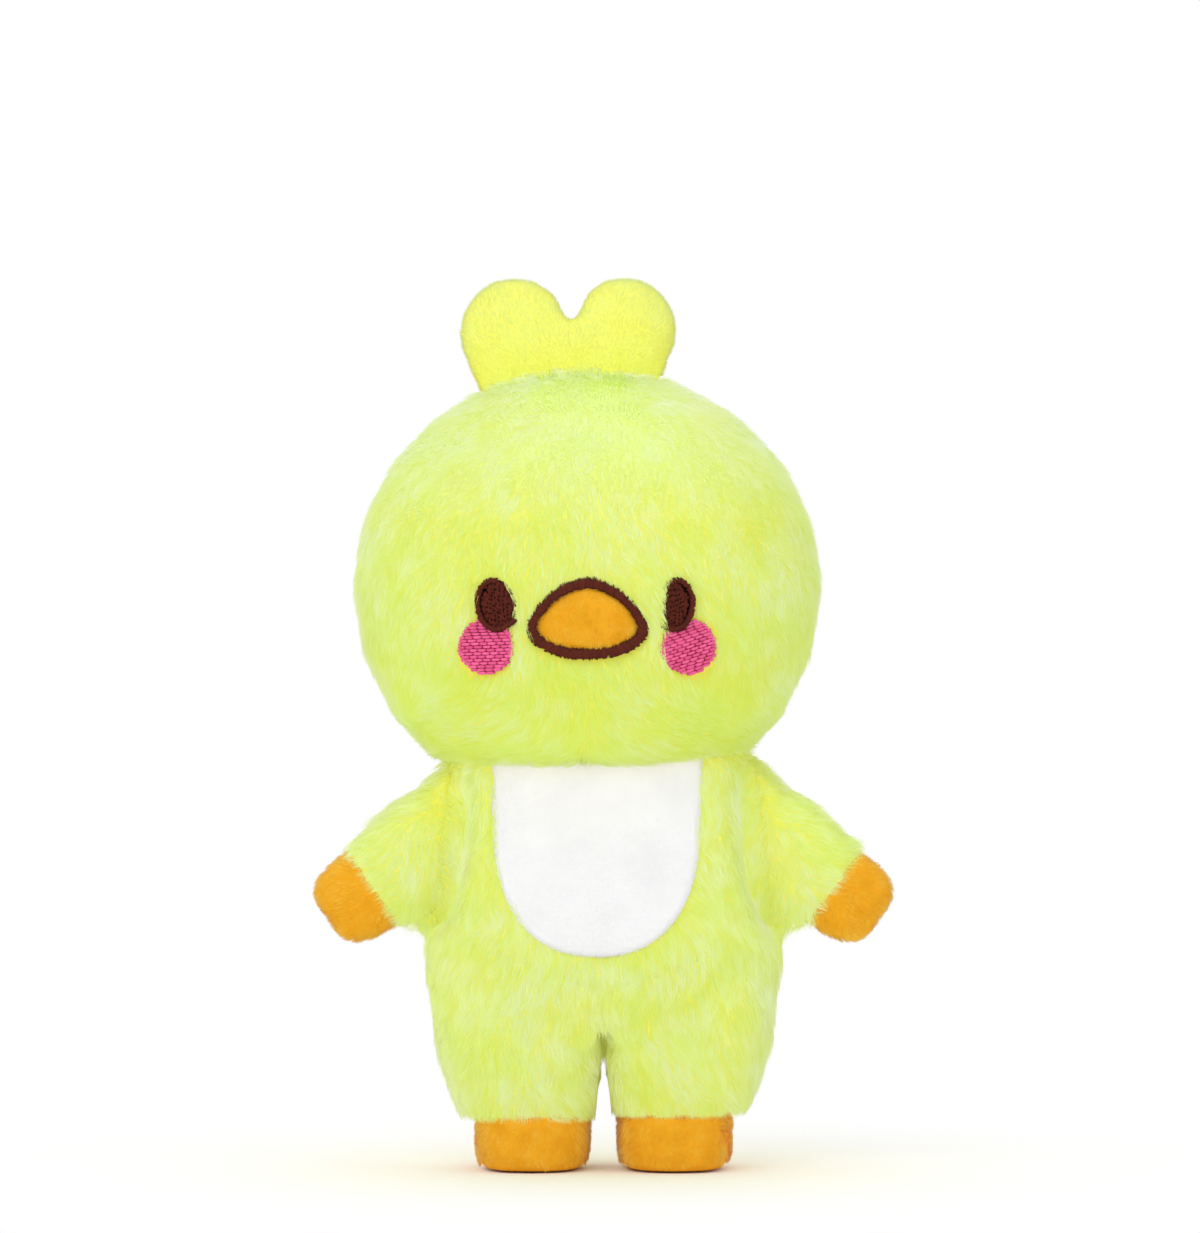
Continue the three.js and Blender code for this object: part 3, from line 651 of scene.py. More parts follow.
def stuff(obj, held):
    """Lets stuffing push a skin out between its seams: a cloth simulation, held at the points that
    held() says yes to."""
    scene = bpy.context.scene
    start = vertex_array(obj.data)
    seams = obj.vertex_groups.new(name="seams")
    seams.add(np.flatnonzero(held(start)).tolist(), 1.0, "REPLACE")
    cloth = obj.modifiers.new("stuffing", "CLOTH")
    cloth.settings.use_pressure = True
    cloth.settings.uniform_pressure_force = STUFFING_PRESSURE
    cloth.settings.vertex_group_mass = seams.name
    cloth.settings.effector_weights.gravity = 0
    cloth.point_cache.frame_start = 1
    cloth.point_cache.frame_end = STUFFING_FRAMES
    for number in range(1, STUFFING_FRAMES + 1):
        scene.frame_set(number)
    apply_modifiers(obj)
    scene.frame_set(1)
    obj.vertex_groups.clear()
    moved = vertex_array(obj.data) - start
    length = np.linalg.norm(moved, axis=1, keepdims=True)
    place_points(obj, start + moved * np.minimum(1, STUFFING_MOST / np.maximum(length, 1e-9)))


def portion(whole, name, keep):
    """A closed piece of a skin: the faces whose centres keep() says yes to, with its cut edge filled."""
    shape = bmesh.new()
    shape.from_mesh(whole.data)
    shape.faces.ensure_lookup_table()
    inside = keep(np.array([face.calc_center_median() for face in shape.faces]))
    dropped = [face for face, kept in zip(shape.faces, inside, strict=True) if not kept]
    bmesh.ops.delete(shape, geom=dropped, context="FACES")
    caps = bmesh.ops.holes_fill(shape, edges=[e for e in shape.edges if e.is_boundary], sides=0)["faces"]
    bmesh.ops.poke(shape, faces=caps)
    bmesh.ops.recalc_face_normals(shape, faces=shape.faces)
    mesh = bpy.data.meshes.new(name)
    shape.to_mesh(mesh)
    shape.free()
    shade_smooth(mesh)
    return collection_add(bpy.data.objects.new(name, mesh))


def tree_of(obj):
    mesh = obj.data
    return BVHTree.FromPolygons([v.co for v in mesh.vertices], [p.vertices for p in mesh.polygons])


def scatter(obj, per_mm2, seed):
    """Places spread evenly over a skin, with the normals there."""
    rng = np.random.default_rng(seed)
    mesh = obj.data
    mesh.calc_loop_triangles()
    corners = np.zeros(len(mesh.loop_triangles) * 3, np.int32)
    mesh.loop_triangles.foreach_get("vertices", corners)
    corners = corners.reshape(-1, 3)
    points, normals = vertex_array(mesh), vertex_array(mesh, "normal")
    a, b, c = (points[corners[:, i]] for i in range(3))
    areas = np.linalg.norm(np.cross(b - a, c - a), axis=1) / 2
    total = areas.cumsum()
    count = int(total[-1] / MM**2 * per_mm2)
    steps = (np.arange(count) + rng.random(count)) / count * total[-1]
    face = np.minimum(np.searchsorted(total, steps), len(areas) - 1)
    u, v = rng.random(count), rng.random(count)
    over = u + v > 1
    u[over], v[over] = 1 - u[over], 1 - v[over]
    share = np.stack([1 - u - v, u, v], axis=1)[:, :, None]
    places = (points[corners[face]] * share).sum(axis=1)
    facing = unit((normals[corners[face]] * share).sum(axis=1))
    return places, facing


LYING = 0.5  # least that a lying tube's upper side faces as the skin does
STANDING_SOFTNESS = 0.5
MAP_MARGIN = 0.1


def tube_faces(rings, share, angles, pointed):
    """Corners of a tube's faces, their spots on its map, and which face away from the skin or to it."""
    sides = len(angles)
    corners, spots, turns = [], [], []
    for ring, side in itertools.product(range(rings), range(sides)):
        turn = np.sign(round(math.sin(angles[side] - math.pi / sides), 3))
        a, b = ring * sides + side, ring * sides + (side + 1) % sides
        low, high = share[ring], share[min(ring + 1, len(share) - 1)]
        left, right = side / sides, (side + 1) / sides
        if ring < rings - 1:
            corners += [(a, b, b + sides), (a, b + sides, a + sides)]
            spots.append(((left, low), (right, low), (right, high)))
            spots.append(((left, low), (right, high), (left, high)))
            turns += [turn, turn]
        elif pointed:
            corners.append((a, b, rings * sides))
            spots.append(((left, low), (right, low), ((left + right) / 2, 1.0)))
            turns.append(turn)
    return np.array(corners), np.array(spots), np.array(turns, float)


def tubes(name, paths, radii, facing, tint, material, sides, pointed, softness):
    """Thin tubes along paths, as one mesh. Their normals lean to the skin's, as light falls on a coat, and
    away from it on the side of a lying tube that is towards the skin."""
    count, steps, _ = paths.shape
    radii = np.broadcast_to(radii, (count, steps))
    along = unit(np.gradient(paths, axis=1))
    across = unit(np.cross(along, facing[:, None, :]))
    upward = np.cross(across, along)
    rings = steps - 1 if pointed else steps
    angles = math.pi / 2 - np.arange(sides) * 2 * math.pi / sides
    cos, sin = np.cos(angles)[None, None, :, None], np.sin(angles)[None, None, :, None]
    round_it = across[:, :rings, None, :] * cos + upward[:, :rings, None, :] * sin
    points = paths[:, :rings, None, :] + round_it * radii[:, :rings, None, None]
    points = points.reshape(count, rings * sides, 3)
    outward = round_it.reshape(count, rings * sides, 3)
    share = np.linspace(0, 1, steps)
    shares = np.repeat(share[:rings], sides)
    if pointed:
        points = np.concatenate([points, paths[:, -1:, :]], axis=1)
        outward = np.concatenate([outward, np.zeros((count, 1, 3))], axis=1)
        shares = np.append(shares, 1.0)
    corners, spots, turns = tube_faces(rings, share, angles, pointed)
    lies = (upward[:, 0] * facing).sum(axis=1) > LYING
    leaning_to = facing[:, None, :] * np.where(lies[:, None], turns, 1)[:, :, None]
    share = np.where(lies, softness, STANDING_SOFTNESS)[:, None, None, None]
    normals = share * leaning_to[:, :, None, :] + (1 - share) * outward[:, corners, :]
    size = points.shape[1]
    faces = (corners[None] + (np.arange(count) * size)[:, None, None]).reshape(-1, 3)
    return tube_mesh(
        name, points.reshape(-1, 3), faces, unit(normals).reshape(-1, 3), np.tile(shares, count),
        np.repeat(tint, size), tube_map(spots, count), material,
    )


def tube_map(spots, count):
    """A map that gives each tube its own small spot."""
    columns = max(1, round(math.sqrt(count * 3)))
    rows = math.ceil(count / columns)
    index = np.arange(count)
    cell = np.stack([index % columns, index // columns], axis=1).astype(float)
    inside = MAP_MARGIN + (1 - 2 * MAP_MARGIN) * spots
    placed = cell[:, None, None, :] + inside[None]
    return (placed / np.array([columns, rows])).reshape(-1, 2)


def tube_mesh(name, points, faces, normals, along, tint, spots, material):
    mesh = bpy.data.meshes.new(name)
    mesh.vertices.add(len(points))
    mesh.vertices.foreach_set("co", points.astype(np.float32).ravel())
    mesh.loops.add(faces.size)
    mesh.loops.foreach_set("vertex_index", faces.astype(np.int32).ravel())
    mesh.polygons.add(len(faces))
    mesh.polygons.foreach_set("loop_start", np.arange(0, faces.size, 3, dtype=np.int32))
    mesh.polygons.foreach_set("use_smooth", np.ones(len(faces), bool))
    for label, values in (("along", along), ("tuft", tint)):
        mesh.attributes.new(label, "FLOAT", "POINT").data.foreach_set("value", values.astype(np.float32))
    layer = mesh.uv_layers.new(name="OFBake")
    layer.data.foreach_set("uv", spots.astype(np.float32).ravel())
    mesh.update(calc_edges=True)
    mesh.normals_split_custom_set(normals.astype(np.float32))
    mesh.materials.append(material)
    return collection_add(bpy.data.objects.new(name, mesh))


# Pile

FIBRE_SIDES = 3
MOST_FACES = 190_000  # of one piece of fur
LIE_LARGE = 17 * MM  # patches in which the pile leans one way
LIE_SMALL = 5 * MM
FIBRE_SUNK = 0.4 * MM
FIBRE_TIP = 0.35  # share of a fibre's thickness at its end
SHORTEST_CUT = 0.2  # share that is left of a fibre at least
STRAY = 0.2  # radians by which fibres stray from the lie
LENGTHS = (0.7, 1.15)  # shortest and longest share of a pile's length
HEIGHTS = (0.7, 1.1)
RISE_POWER = 2.2  # how fast a fibre rises from its root
REACH_POWER = 1.35  # how late it reaches out
CURL = 0.7
PULL_POWER = 1.5  # how late it is drawn to the middle of its tuft
STANDS_HIGHER = 0.7
STANDS_SHORTER = 0.6
LIT_BELOW = -0.25  # least that fur's normals point up


@dataclass
class Pile:
    """How a pile lies: its fibres' length along the skin, height over it, thickness, number and tufts."""

    length: float
    height: float
    thickness: float
    per_mm2: float
    clump: float
    sway: float
    points: int
    softness: float = 0.9
    pull: float = 0.5

    def most_fibres(self):
        return MOST_FACES // (FIBRE_SIDES * (2 * self.points - 3))


UNDER = Pile(4.2 * MM, 2.4 * MM, 0.22 * MM, 4.6, 2.5 * MM, 0.45, 2)
HEAD_GUARD = Pile(5.6 * MM, 2.8 * MM, 0.16 * MM, 1.7, 3.4 * MM, 0.5, 3, 0.85, 0.75)
BODY_GUARD = Pile(7.0 * MM, 3.3 * MM, 0.17 * MM, 1.9, 4.4 * MM, 0.7, 3, 0.8, 0.9)
SHORT = Pile(1.9 * MM, 1.2 * MM, 0.2 * MM, 6.0, 2.2 * MM, 0.8, 2, 0.75, 0.8)
SMOOTH = Pile(1.7 * MM, 0.9 * MM, 0.19 * MM, 6.5, 1.6 * MM, 0.35, 2, 0.9, 0.3)
VELOUR = Pile(0.5 * MM, 0.6 * MM, 0.16 * MM, 7.0, 1.2 * MM, 0.6, 2)


@dataclass
class Fibres:
    """Fibres of one pile: their paths, their tints and the skin's normals at their roots."""

    pile: Pile
    paths: np.ndarray
    tint: np.ndarray
    facing: np.ndarray

    def pick(self, chosen):
        return Fibres(self.pile, self.paths[chosen], self.tint[chosen], self.facing[chosen])

    def roots(self):
        return self.paths[:, 0]

    def toned(self, shift):
        """Fibres that are paler where shift is above 0, and deeper in colour below it."""
        return replace(self, tint=np.clip(self.tint + shift, 0, 1))

    def raised(self, by):
        return replace(self, paths=self.paths + self.facing[:, None, :] * by[:, None, None])

    def off(self, distance, lap):
        """Fibres that keep off a place and only lap its edge: none grow further in, long ones are cut."""
        root, tip = distance(self.paths[:, 0]), distance(self.paths[:, -1])
        reach = np.clip((root + lap) / np.maximum(root - tip, 1e-9), SHORTEST_CUT, 1)
        reach = np.where(tip < -lap, reach, 1)
        roots = self.paths[:, :1]
        cut = roots + (self.paths - roots) * reach[:, None, None]
        return replace(self, paths=cut).pick(root > -lap)


def layers(guard):
    """Long fur: a dense short layer, and longer fibres over it."""
    return [("under", UNDER, UNDER_FUR), ("guard", guard, GUARD_FUR)]


def turned(flow, facing, angle):
    """Flow turned about the skin's normal."""
    return flow * np.cos(angle)[:, None] + np.cross(facing, flow) * np.sin(angle)[:, None]


def lit(facing):
    """Normals that light falls on: fur that faces the floor is lit through from the side."""
    return unit(np.stack([facing[:, 0], facing[:, 1], np.maximum(facing[:, 2], LIT_BELOW)], axis=1))


def tuft_middles(places, pile, rng):
    """For each place, the one that is the middle of its tuft."""
    tufts = max(1, int(len(places) / (pile.per_mm2 * (pile.clump / MM) ** 2)))
    middles = rng.choice(len(places), tufts, replace=False)
    tree = KDTree(tufts)
    for i, middle in enumerate(middles):
        tree.insert(places[middle], i)
    tree.balance()
    return middles[[tree.find(place)[1] for place in places]]


def groom(places, facing, flow, pile, seed, lie, upright):
    """Fibres that grow at places and lie along flow, drawn together into tufts; the upright ones stand."""
    rng = np.random.default_rng(seed)
    count = len(places)
    flow = unit(flow - (flow * facing).sum(axis=1, keepdims=True) * facing)
    swirl = noise(places, LIE_LARGE, lie) + 0.8 * noise(places, LIE_SMALL, lie + 1)
    flow = turned(flow, facing, pile.sway * swirl + rng.normal(0, STRAY, count))
    length = pile.length * rng.uniform(*LENGTHS, count) * (1 + 0.2 * noise(places, 2 * LIE_SMALL, lie + 2))
    height = pile.height * rng.uniform(*HEIGHTS, count) * (1 + 0.12 * noise(places, LIE_SMALL, lie + 3))
    nearest = tuft_middles(places, pile, rng)
    height, length = height * (1 + STANDS_HIGHER * upright), length * (1 - STANDS_SHORTER * upright)
    share = np.linspace(0, 1, pile.points)
    rise = height[:, None] * (1 - (1 - share) ** RISE_POWER) - FIBRE_SUNK * (share == 0)
    out = length[:, None] * share**REACH_POWER
    curl = (CURL * pile.sway * length * noise(places[nearest], LIE_SMALL, lie + 5))[:, None] * share**2
    paths = places[:, None, :] + facing[:, None, :] * rise[:, :, None] + flow[:, None, :] * out[:, :, None]
    paths += np.cross(facing, flow)[:, None, :] * curl[:, :, None]
    pull = (pile.pull * rng.random(count))[:, None, None] * (share**PULL_POWER)[None, :, None]
    paths = paths * (1 - pull) + paths[nearest] * pull
    tint = 0.5 + 0.2 * rng.normal(size=count) + 0.25 * noise(places[nearest], LIE_SMALL, lie + 4)
    return Fibres(pile, paths, np.clip(tint, 0, 1), lit(facing))


def fibres_on(skin, pile, flow, seed, lie, grows=None, stands=None):
    """Fibres all over a skin, or at the places that grows() says yes to, as upright as stands() says."""
    places, facing = scatter(skin, pile.per_mm2, seed)
    if grows is not None:
        chosen = grows(places, facing)
        places, facing = places[chosen], facing[chosen]
    upright = np.zeros(len(places)) if stands is None else stands(places)
    return groom(places, facing, flow(places), pile, seed, lie, upright)


def coat(name, fibres, order, material):
    """Pieces of fur with few enough faces each, split along an order of the fibres."""
    pile = fibres.pile
    profile = pile.thickness / 2 * np.linspace(1.0, FIBRE_TIP, pile.points)
    parts = max(1, math.ceil(len(fibres.paths) / pile.most_fibres()))
    made = []
    for part, chosen in enumerate(np.array_split(np.argsort(order), parts)):
        label = f"{name}_{part + 1}" if parts > 1 else name
        some = fibres.pick(chosen)
        look = some.facing, some.tint, material
        piece = tubes(label, some.paths, profile, *look, FIBRE_SIDES, True, pile.softness)
        piece.visible_shadow = False  # thin fibres let light through
        piece.visible_diffuse = False
        made.append(piece)
    return made


# Outlines of sewn-on pieces, as signed distances seen from the front: below 0 inside

FAR = 1.0
NEAR_BEAK = 12 * MM
NEAR_BIB = 15 * MM


def ellipse_distance(across, up, half_across, half_up):
    radius = np.hypot(across / half_across, up / half_up)
    return (radius - 1) * min(half_across, half_up)


def beak_outline(inset_by, steps=24):
    """A triangle with bowed sides and round corners."""
    half = np.array(BEAK_HALF) - inset_by
    points = []
    for curve in BEAK_CURVES:
        p = np.array(curve)
        for t in np.arange(steps) / steps:
            s = 1 - t
            points.append(s**3 * p[0] + 3 * s * s * t * p[1] + 3 * s * t * t * p[2] + t**3 * p[3])
    right = np.array(points)
    left = (right * (-1, 1))[::-1]
    loop = np.concatenate([right, [(0, -1)], left[:-1]])
    return loop * half + np.array((HEAD_X, HEAD_Z - BEAK_DOWN))


def loop_distance(points, loop):
    """Distance from points to a closed outline, below 0 inside it."""
    best = np.full(len(points), np.inf)
    inside = np.zeros(len(points), bool)
    for a, b in zip(loop, np.roll(loop, -1, axis=0), strict=True):
        edge = b - a
        t = np.clip(((points - a) @ edge) / max(edge @ edge, 1e-18), 0, 1)
        best = np.minimum(best, np.linalg.norm(points - a - t[:, None] * edge, axis=1))
        crosses = (a[1] > points[:, 1]) != (b[1] > points[:, 1])
        level = (b[0] - a[0]) * (points[:, 1] - a[1]) / (b[1] - a[1] + 1e-18) + a[0]
        inside ^= crosses & (points[:, 0] < level)
    return np.where(inside, -best, best)


def near_loop(points, loop, margin):
    """Signed distance to an outline for the points in front that are near it, and far for the others."""
    low, high = loop.min(axis=0) - margin, loop.max(axis=0) + margin
    flat = points[:, [0, 2]]
    near = (points[:, 1] < 0) & (flat > low).all(axis=1) & (flat < high).all(axis=1)
    distance = np.full(len(points), FAR)
    distance[near] = loop_distance(flat[near], loop)
    return distance


def eye_middle(side):
    return np.array((HEAD_X + SIDES[side] * EYE_OUT[side], HEAD_Z - EYE_DOWN))


def leaning(offsets, side, way=1):
    """Places round the middle of an eye, turned with it; way -1 turns them back."""
    turn = -SIDES[side] * EYE_TILT * way
    cos, sin = math.cos(turn), math.sin(turn)
    x, z = np.moveaxis(offsets, -1, 0)
    return np.stack([x * cos - z * sin, x * sin + z * cos], axis=-1)


def eye_distance(points, side, hidden=0.0):
    """How far points lie from an eye, of which a hidden width at its inner side doesn't count."""
    x, z = leaning(points[:, [0, 2]] - eye_middle(side), side, -1).T
    strip = -SIDES[side] * x - (EYE_HALF[0] - hidden)
    return np.maximum(ellipse_distance(x, z, *EYE_HALF), strip)


def face_distance(points):
    """How far points lie from the nearest stitched piece of the face."""
    best = near_loop(points, beak_outline(0.0), NEAR_BEAK)
    across, up = points[:, 0] - HEAD_X, points[:, 2] - HEAD_Z
    for side, sign in SIDES.items():
        eye = eye_distance(points, side, EYE_HIDDEN[side])
        cheek = ellipse_distance(across - sign * CHEEK_OUT, up + CHEEK_DOWN, CHEEK_HALF, CHEEK_HALF)
        best = np.minimum(best, np.where(points[:, 1] < 0, np.minimum(eye, cheek), FAR))
    return best


def bib_outline(grown=0.0):
    start, half, low_half = BIB_BOTTOM + BIB_ROUND, BIB_HALF + grown, BIB_ROUND + grown
    turn = np.linspace(math.pi, 2 * math.pi, BIB_POINTS[0])
    low = superellipse(half, low_half, BIB_POWER, turn) + (BIB_X, start)
    across = np.linspace(half + BIB_FLARE, -half - BIB_FLARE, BIB_POINTS[1])
    top = np.stack([BIB_X + across, np.full(len(across), BIB_TOP)], axis=1)
    return np.concatenate([low, top])


def bib_distance(points):
    return near_loop(points, bib_outline(), NEAR_BIB)


def parting_distance(points):
    """How far points lie from the gap between the legs."""
    share = 1 - points[:, 2] / CROTCH_Z
    half = LEG_PARTING[0] + (LEG_PARTING[1] - LEG_PARTING[0]) * share
    return np.where(share > 0, np.abs(points[:, 0]) - half, FAR)


# Head

HEAD_NODES = ["face_panel", "head_back_left_panel", "head_back_right_panel", "head_stuffing"]
FACE_NODES = ["beak_patch", "beak_border", "left_eye", "right_eye", "left_cheek", "right_cheek"]


def head_seams(points):
    """How far the seams draw the head in."""
    x, y, z = points.T
    side = groove(y - HEAD_SEAM_Y, *PLAIN_SEAM)
    back = groove(x - HEAD_X, *PLAIN_SEAM) * (y > HEAD_SEAM_Y)
    dart = groove(x - DART_X, *CHIN_DART) * (y < 0)
    dart *= smoothstep(*DART_FROM, z) - smoothstep(*DART_TO, z)
    return np.maximum(np.maximum(side, back), dart)


def head_held(points):
    """The seams of the head: round its sides, up its back and round the neck."""
    x, y, z = points.T
    seams = (np.abs(y - HEAD_SEAM_Y) < VOXEL) | ((np.abs(x - HEAD_X) < VOXEL) & (y > 0))
    return seams | (z < CHIN_Z)


def comb_distance(places):
    """How far places on the head lie from the foot of the comb, seen from above."""
    middle = JOINTS["comb_fold"]["pos_m"]
    across = np.maximum(np.abs(places[:, 0] - middle[0]) - COMB_ROOT[0], 0)
    along = np.maximum(np.abs(places[:, 1] - middle[1]) - COMB_ROOT[1], 0)
    return np.where(places[:, 2] > HEAD_Z, np.hypot(across, along), FAR)


def by_comb(places):
    """How upright the fur is round the foot of the comb."""
    return FRINGE_UPRIGHT * (1 - smoothstep(*COMB_FRINGE, comb_distance(places)))


def head_flow(places):
    """Down the head and away from its crown, and fanned out under the face on both sides of the dart."""
    away = places - np.array((HEAD_X, 0, HEAD_Z))
    flow = np.array((0, 0, -1.0)) + HEAD_AWAY * unit(away * (1, 1, 0))
    chin = (1 - smoothstep(*CHIN_FANNED, places[:, 2])) * (places[:, 1] < 0)
    flow[:, 0] += CHIN_FAN * chin * np.clip((places[:, 0] - DART_X) / CHIN_FAN_HALF, -1, 1)
    return flow


def head_grows(places, facing):
    """Fur grows on the outside of the head, not under the comb."""
    away = unit(places - np.array((HEAD_X, 0, HEAD_Z)))
    return ((away * facing).sum(axis=1) > HEAD_OUTSIDE) & (comb_distance(places) > 0)


def head_light_and_shade(places):
    """Painted light and shade in the pile: a painted highlight makes it palest on the crown, most of all by
    the comb, and painted shade makes it deeper down the face and deepest under the chin.
    """
    z = places[:, 2]
    crown = CROWN_HIGHLIGHT_TONE * smoothstep(*CROWN_HIGHLIGHT, z) + FRINGE_LIGHT_TONE * by_comb(places)
    chin = FACE_SHADE_TONE * (1 - smoothstep(*FACE_SHADE, z)) + CHIN_SHADE_TONE * (1 - smoothstep(*CHIN_SHADE, z))
    return crown - chin


def fur_over_eye(places):
    """How far the fur beside the beak is raised over the left eye's inner side."""
    near = 1 - smoothstep(0.0, EYE_COVER_HALF, eye_distance(places, "left"))
    inner = places[:, 0] < eye_middle("left")[0]
    return EYE_COVER * near * inner * (places[:, 1] < 0)


def make_head():
    fillings = [filling(levels, HEAD_X) for levels in (CHIN_LEVELS, CROWN_LEVELS)]
    skin = fused("head_skin", HEAD_NODES + FACE_NODES, VOXEL, SOFTENED["head"], fillings=fillings)
    stuff(skin, head_held)
    face = tree_of(skin)
    inset(skin, FUR_DEPTH + head_seams(vertex_array(skin.data)))
    # painted highlight: the backing is paler towards the top of the head
    crown = smoothstep(*CROWN_KNIT_HIGHLIGHT, vertex_array(skin.data)[:, 2])
    skin.data.attributes.new("crown", "FLOAT", "POINT").data.foreach_set("value", crown.astype(np.float32))
    skin.data.materials.append(HEAD_KNIT)
    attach(skin, "head")
    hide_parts(*HEAD_NODES)

    for number, (name, pile, material) in enumerate(layers(HEAD_GUARD)):
        fibres = fibres_on(skin, pile, head_flow, SEED + number, SEED + 20, head_grows, by_comb)
        fibres = fibres.off(face_distance, FACE_LAP)
        roots = fibres.roots()
        # painted highlight on the crown and by the comb, painted shade on the lower face and under the chin
        fibres = fibres.toned(head_light_and_shade(roots)).raised(fur_over_eye(roots))
        turn = np.arctan2(roots[:, 0] - HEAD_X, -roots[:, 1])
        for piece in coat(f"head_{name}_fur", fibres, turn, material):
            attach(piece, "head")
    return face


# Body, sleeves and legs, as one coat that is cut where the joints are

TORSO_NODES = ["body_front_panel", "body_back_left_panel", "body_back_right_panel", "body_stuffing"]


def arm_axes(side):
    """The middle of an arm's seam, the way up along the seam and the way out of the body."""
    joint = JOINTS[f"{side}_shoulder"]
    along = unit(np.array(joint["axis"]))
    along = along if along[2] > 0 else -along
    out = SIDES[side] * np.cross(np.array((0, 1.0, 0)), along)
    return np.array(joint["pos_m"]), along, out


def arm_out(points, side):
    start, _, out = arm_axes(side)
    return (points - start) @ out


def on_arm(points, side):
    outside = SIDES[side] * points[:, 0]
    return (arm_out(points, side) > 0) & ((points[:, 2] > ARMPIT_Z) | (outside > ARM_CLEAR_X))


def hand_way(side):
    _, along, out = arm_axes(side)
    return math.cos(CUFF_TILT) * out - math.sin(CUFF_TILT) * along


def past_cuff(points, side):
    """How far points lie past the plane of the cuff, towards the hand."""
    start, along, out = arm_axes(side)
    cuff = start + CUFF_REACH * out - CUFF_DROOP * along
    return (points - cuff) @ hand_way(side)


def leg_blend(side):
    start = np.array((0, 0, LEG_SEAM_Z))
    return start, start + np.array((SIDES[side] * LEG_SOFT_ACROSS, 0, -LEG_SOFT_DOWN))


def on_leg(points, side):
    start, end = leg_blend(side)
    return (SIDES[side] * points[:, 0] >= 0) & ((points - start) @ (end - start) > 0)


def on_torso(points):
    limb = np.zeros(len(points), bool)
    for side in SIDES:
        limb |= on_arm(points, side) | on_leg(points, side)
    return ~limb


def body_seams(points):
    """How far the seams draw the body in."""
    x, y, z = points.T
    depth = groove(x, *PLAIN_SEAM) * (y > 0)
    front = groove(x, *FRONT_SEAM) * (y < 0) * (z < FRONT_SEAM_TOP)
    depth = np.maximum(np.maximum(depth, front), groove(y, *SIDE_SEAM))
    for side, sign in SIDES.items():
        shoulder = groove(arm_out(points, side), *SHOULDER_SEAM) * (z > ARMPIT_Z) * (sign * x > 0)
        depth = np.maximum(depth, shoulder)
    return depth


def hem_drop(points):
    """How far the hem of the leg that points belong to hangs down."""
    return np.where(points[:, 0] > 0, HEM_DROP["left"], HEM_DROP["right"])


def shape_body(skin):
    """Raises the neck, makes room for the pile and lets the ends of the limbs reach to feet and hands."""
    points = vertex_array(skin.data)
    neck = smoothstep(*NECK_RISES, points[:, 2])
    points[:, 2] += NECK_RISE * neck * (1 - smoothstep(*NECK_RISEN, np.abs(points[:, 0])))
    x, z = np.abs(points[:, 0]), points[:, 2]
    lifted = (1 - smoothstep(*CROTCH_HALF, x)) * smoothstep(*CROTCH_FROM, z)
    points[:, 2] += CROTCH_LIFT * lifted * (1 - smoothstep(*CROTCH_TO, z))
    thigh = smoothstep(*THIGH_FROM, z) * (1 - smoothstep(*THIGH_TO, z))
    points[:, 1] *= 1 + THIGH_FULLER * thigh * (1 - smoothstep(*THIGH_HALF, x))
    place_points(skin, points)
    front = tree_of(skin)
    between = (1 - smoothstep(*BETWEEN_LEGS, np.abs(points[:, 0]))) * (points[:, 2] < LEG_SEAM_Z)
    inset(skin, FUR_DEPTH * (1 - THIN_BETWEEN * between) + body_seams(points))
    points = vertex_array(skin.data)
    hem = 1 - smoothstep(*HEM_FREE, points[:, 2])
    points[:, 2] -= hem * hem_drop(points)
    for side in SIDES:
        end = smoothstep(*CUFF_STRETCH, past_cuff(points, side)) * on_arm(points, side)
        points += FUR_DEPTH * end[:, None] * hand_way(side)
    place_points(skin, points)
    return front


def body_flow(places):
    """Down the body and fanning out, parted at the shoulder seams, and along the sleeves to the hands."""
    x, y, z = places.T
    half_x, half_y = BELLY_FAN_HALF
    fan = np.stack([x / half_x, BELLY_FAN_BACK * y / half_y, np.zeros(len(z))], axis=1)
    below = 1 - smoothstep(*BELLY_FANNED, z)
    flow = np.array((0, 0, -1.0)) + BELLY_FAN * fan * below[:, None]
    for side in SIDES:
        beside = groove(arm_out(places, side), *SHOULDER_PARTING) * (z > ARMPIT_Z)
        flow -= beside[:, None] * arm_axes(side)[2]
        share = smoothstep(*SLEEVE_FLOW, arm_out(places, side)) * on_arm(places, side)
        flow = flow * (1 - share)[:, None] + hand_way(side) * share[:, None]
    return flow


def body_held(points):
    """The seams of the body: down its sides and its back, round neck and shoulders, hems and cuffs."""
    x, y, z = points.T
    held = (np.abs(y) < VOXEL) | ((np.abs(x) < VOXEL) & (y > 0))
    held |= (z > NECK_Z - SEAM_HELD) | (z < HEM_Z + SEAM_HELD)
    for side in SIDES:
        held |= (np.abs(arm_out(points, side)) < VOXEL) & (z > ARMPIT_Z)
        held |= on_arm(points, side) & (past_cuff(points, side) > -SEAM_HELD)
    return held


def hem_distance(points):
    """How far points lie above the hems of the legs."""
    return points[:, 2] - HEM_Z + hem_drop(points)


def cuff_distance(points):
    """How far points of the sleeves lie before their cuffs."""
    distance = np.full(len(points), FAR)
    for side in SIDES:
        arm = on_arm(points, side)
        distance[arm] = -past_cuff(points[arm], side)
    return distance


def body_grows(places, facing):
    """Fur grows below the neck and above the hems, but not under them, and as far as the cuffs."""
    z = places[:, 2]
    grows = (z < FUR_TOP) & (z > HEM_Z - HEM_DROP["right"])
    grows &= ~((facing[:, 2] < HEM_UNDER[0]) & (z < HEM_UNDER[1]))
    for side in SIDES:
        grows &= ~(on_arm(places, side) & (past_cuff(places, side) > -CUFF_BARE))
    return grows


def limb_nodes(side):
    arm = [f"{side}_sleeve_front", f"{side}_sleeve_back", f"{side}_arm_stuffing"]
    leg = [f"{side}_leg_front", f"{side}_leg_back", f"{side}_leg_stuffing"]
    return arm, leg


def bend_arm(piece, side):
    start, _, out = arm_axes(side)
    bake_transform(piece)


def bend_leg(piece):
    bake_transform(piece)


